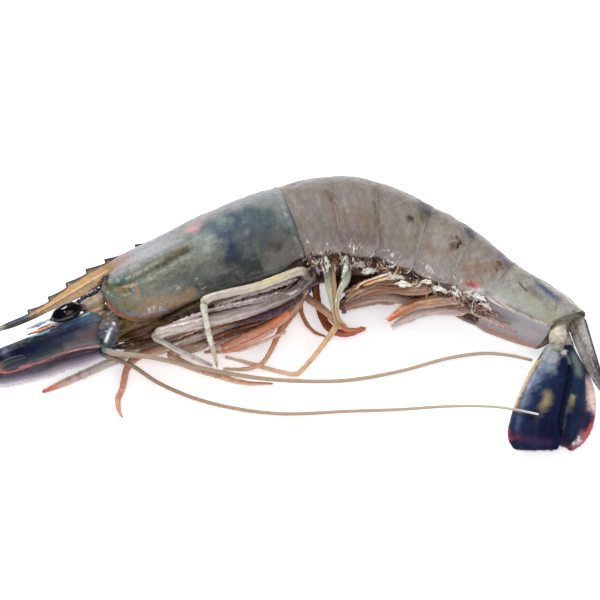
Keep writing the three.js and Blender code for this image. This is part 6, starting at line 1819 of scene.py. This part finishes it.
# %% Dark tissue and frills
FILL = [  # path, half width, colours: dark tissue above the swimmerets
    ([(5, -12.6, 7.5), (10.5, -13.4, 7.4), (17.3, -13.6, 7), (24.5, -14.8, 7), (31.5, -15.8, 6.6)], 2.4,
        ["#4a3020", "#4c3424", "#6a4a34", "#94694e", "#a87a60"]),
    ([(9, -15.6, 8.6), (15, -15.4, 8.8), (21.5, -15.8, 8.6), (27, -16.6, 8.4)], 1.6,
        ["#3a2216", "#6a4428", "#946448", "#b08066"]),
    ([(9.6, -17.8, 8.5), (8.9, -19.2, 8.6), (8.7, -20.6, 8.4), (9.3, -21.9, 8)], 0.8,
        ["#3a2216", "#4a2e20", "#7b5350", "#8a6468"]),
    ([(30, -17.4, 7.6), (36.5, -18.8, 7.6), (42, -20.4, 7.2), (46, -21.8, 6.8)], 1.5,
        ["#a87c64", "#9a7460", "#b89484", "#a88480"]),
    ([(38, -18.2, 8.8), (43, -20.4, 8.4), (48, -22.8, 8)], 0.45, ["#e0c0b0", "#b08c80", "#d8b8b0"]),
    ([(40, -19.8, 8.2), (45, -22, 7.8), (51, -24.9, 7.2)], 0.35, ["#9a7068", "#d0a89c", "#b08480"]),
    ([(41, -21.6, 7.8), (46, -24, 7.2), (52.5, -27, 6.6)], 0.3, ["#c09088", "#e8c4b8", "#c08c84"]),
]
for path, wide, shades in FILL:
    ends = np.r_[0.6, np.ones(len(path) - 2), 0.5]
    lobe(membranes, path, wide * ends, 0.9 * ends, (0, 1, 0.2), shades, "#4a3020", streaks=0.4, step=0.25,
         sides=30, ripples=0.3)
FRILLS = 380
PALE_TONES = [["#c4b4a4", "#e0d6c8"], ["#d8d2c2", "#f6f2e8"], ["#c0a08c", "#dcb898"]]
DARK_TONES = [["#5c4030", "#84604a"], ["#7a5452", "#a07a70"], ["#4a3226", "#7a5844"]]
for _ in range(FRILLS):
    station = 7.15 + 4.75 * rng.uniform() ** 1.3
    tones = PALE_TONES if rng.uniform() < 0.45 else DARK_TONES
    shades = tones[rng.integers(len(tones))]
    hang(station, rng.uniform(-0.2, 3.0), rng.uniform(-0.8, 2.8), rng.uniform(0.1, 1.1), rng.normal(0, 0.9),
         rng.uniform(0.07, 0.24), shades, "#4a3226", sides=8, above=0.4)
print("frills:", FRILLS)

# %% Leaves and white patches
LEAVES = [  # station, inward, down, half length, half height, lean, colours: the flat bases of the swimmerets
    (8.45, 0.3, 3.1, 1.4, 0.85, -0.2, ["#8c857c", "#c0bab0", "#a8a296"]),
    (8.75, 0.3, 4.4, 2, 0.9, 0.1, ["#b8b2aa", "#dcdcd4", "#a49c92"]),
    (9.6, 0.2, 3.6, 2, 0.75, 0.2, ["#c6bcac", "#ebe6dc", "#d4c6b4"]),
    (9.9, 0.2, 4.5, 1.9, 0.75, 0.2, ["#d6ccbc", "#fbf6ec", "#e4d6c4"]),
    (10.5, 0.1, 1.5, 1.3, 0.45, 0.2, ["#e4d4c4", "#fff8ee", "#dcc0a8"]),
    (10.85, 0.1, 2, 2.2, 0.7, 0.2, ["#e8dccc", "#fffaf0", "#f0e2d2"]),
    (11.25, 0.1, 1.6, 1.6, 0.5, 0.1, ["#e0d4c8", "#fffaf2", "#e8d4c4"]),
    # painted highlights: these two white leaves stand in for glints of the wet lower edge
    (11.6, -0.2, -0.9, 1.5, 0.5, 0.1, ["#e8dcd4", "#ffffff", "#f0e0d8"]),
    (11.9, -0.3, 0.1, 2.3, 0.75, 0.25, ["#f4ece4", "#ffffff", "#f4ece6"]),
    (12.1, -0.1, 1.4, 1.8, 0.4, 0.2, ["#d8c0b4", "#f4e8e0"]),
]
for station, inward, down, along_half, tall, lean, shades in LEAVES:
    patch(station, inward, down, along_half, tall, lean, shades, "#7a6254")
STANDING = [  # station, inward, down, reach, sideways, half width, colours: the first two bases stand upright
    (7.6, 0.8, 0.9, 3.8, -0.6, 0.65, ["#b9b8a8", "#e2e8da", "#c8ccb8"]),
    (7.78, 1.1, 1.2, 3.4, -0.3, 0.4, ["#8c7c70", "#c4c0b0"]),
    (8.1, 0.8, 1.6, 4.6, -1.7, 0.75, ["#a4a89c", "#d4dccf", "#b0b8a6"]),
    (7.3, 1.2, 1, 4.4, 0.2, 0.5, ["#94848a", "#b8a4ac", "#8c7880"]),
    (7.45, 1.4, 1.4, 4.8, 0.4, 0.4, ["#a89498", "#dcd0d4", "#9a8288"]),
]
for station, inward, down, reach, sideways, wide, shades in STANDING:
    hang(station, inward, down, reach, sideways, wide, shades, "#6a5a50")
# painted highlights: white lobes that stand in for glints of the wet lower edge
GLINT_TONES = [["#f0e8e0", "#ffffff"], ["#e8d4cc", "#fdf6f2"], ["#d0b0a4", "#f0dcd2"]]
GLINT_PATCHES = 14
for k in range(GLINT_PATCHES):
    patch(11.2 + 0.06 * k, rng.uniform(-0.1, 0.3), rng.uniform(-0.4, 1.4), rng.uniform(0.8, 1.6),
          rng.uniform(0.22, 0.45), rng.normal(0, 0.2), GLINT_TONES[k % len(GLINT_TONES)], "#c09a8c")
membranes.make(flesh_finish, "underside")

# %% Loose strands of the far legs
loose = Piece("leg_strands")
LOOSE = [  # path, half width, colours
    ([(-5.3, -22.7, 9), (-9.6, -25.8, 8.4), (-15.8, -28.5, 7), (-21.6, -30.3, 5.6)], 1.05,
        ["#ff9a62", "#e08a5c", "#e8a58c", "#d08260"]),
    ([(-9.1, -26.8, 7.6), (-14.6, -29.4, 6), (-20.1, -30.8, 5), (-26, -31.2, 4)], 0.75,
        ["#dca894", "#f0b49c", "#e08660", "#c89a88"]),
    ([(-11.6, -24.7, 8), (-17.1, -26.5, 7), (-23.4, -28.2, 6), (-28.5, -29.7, 5)], 0.6,
        ["#8a5a40", "#b87860", "#a86a4c", "#b08c7c"]),
    ([(-5.8, -27.3, 7.5), (-11.6, -29.2, 5.6), (-17.1, -30.8, 4.4), (-23.5, -31.2, 3.6)], 0.42,
        ["#eac0a8", "#f0ccb8", "#ecc4b0", "#e0a488"]),
    ([(-13, -26.2, 7.9), (-19.1, -27.6, 7), (-25.5, -29.4, 5.6)], 0.35, ["#5a3020", "#7c4a34", "#6a4638"]),
]
for path, wide, shades in LOOSE:
    blunt = np.r_[np.ones(len(path) - 1), 0.55]
    lobe(loose, path, wide * blunt, wide * 0.8 * blunt, (0, 1, 0.3), shades, "#8a4c34", streaks=0.3,
         ripples=0.12)
loose.make(limb_finish, "orange_limb")
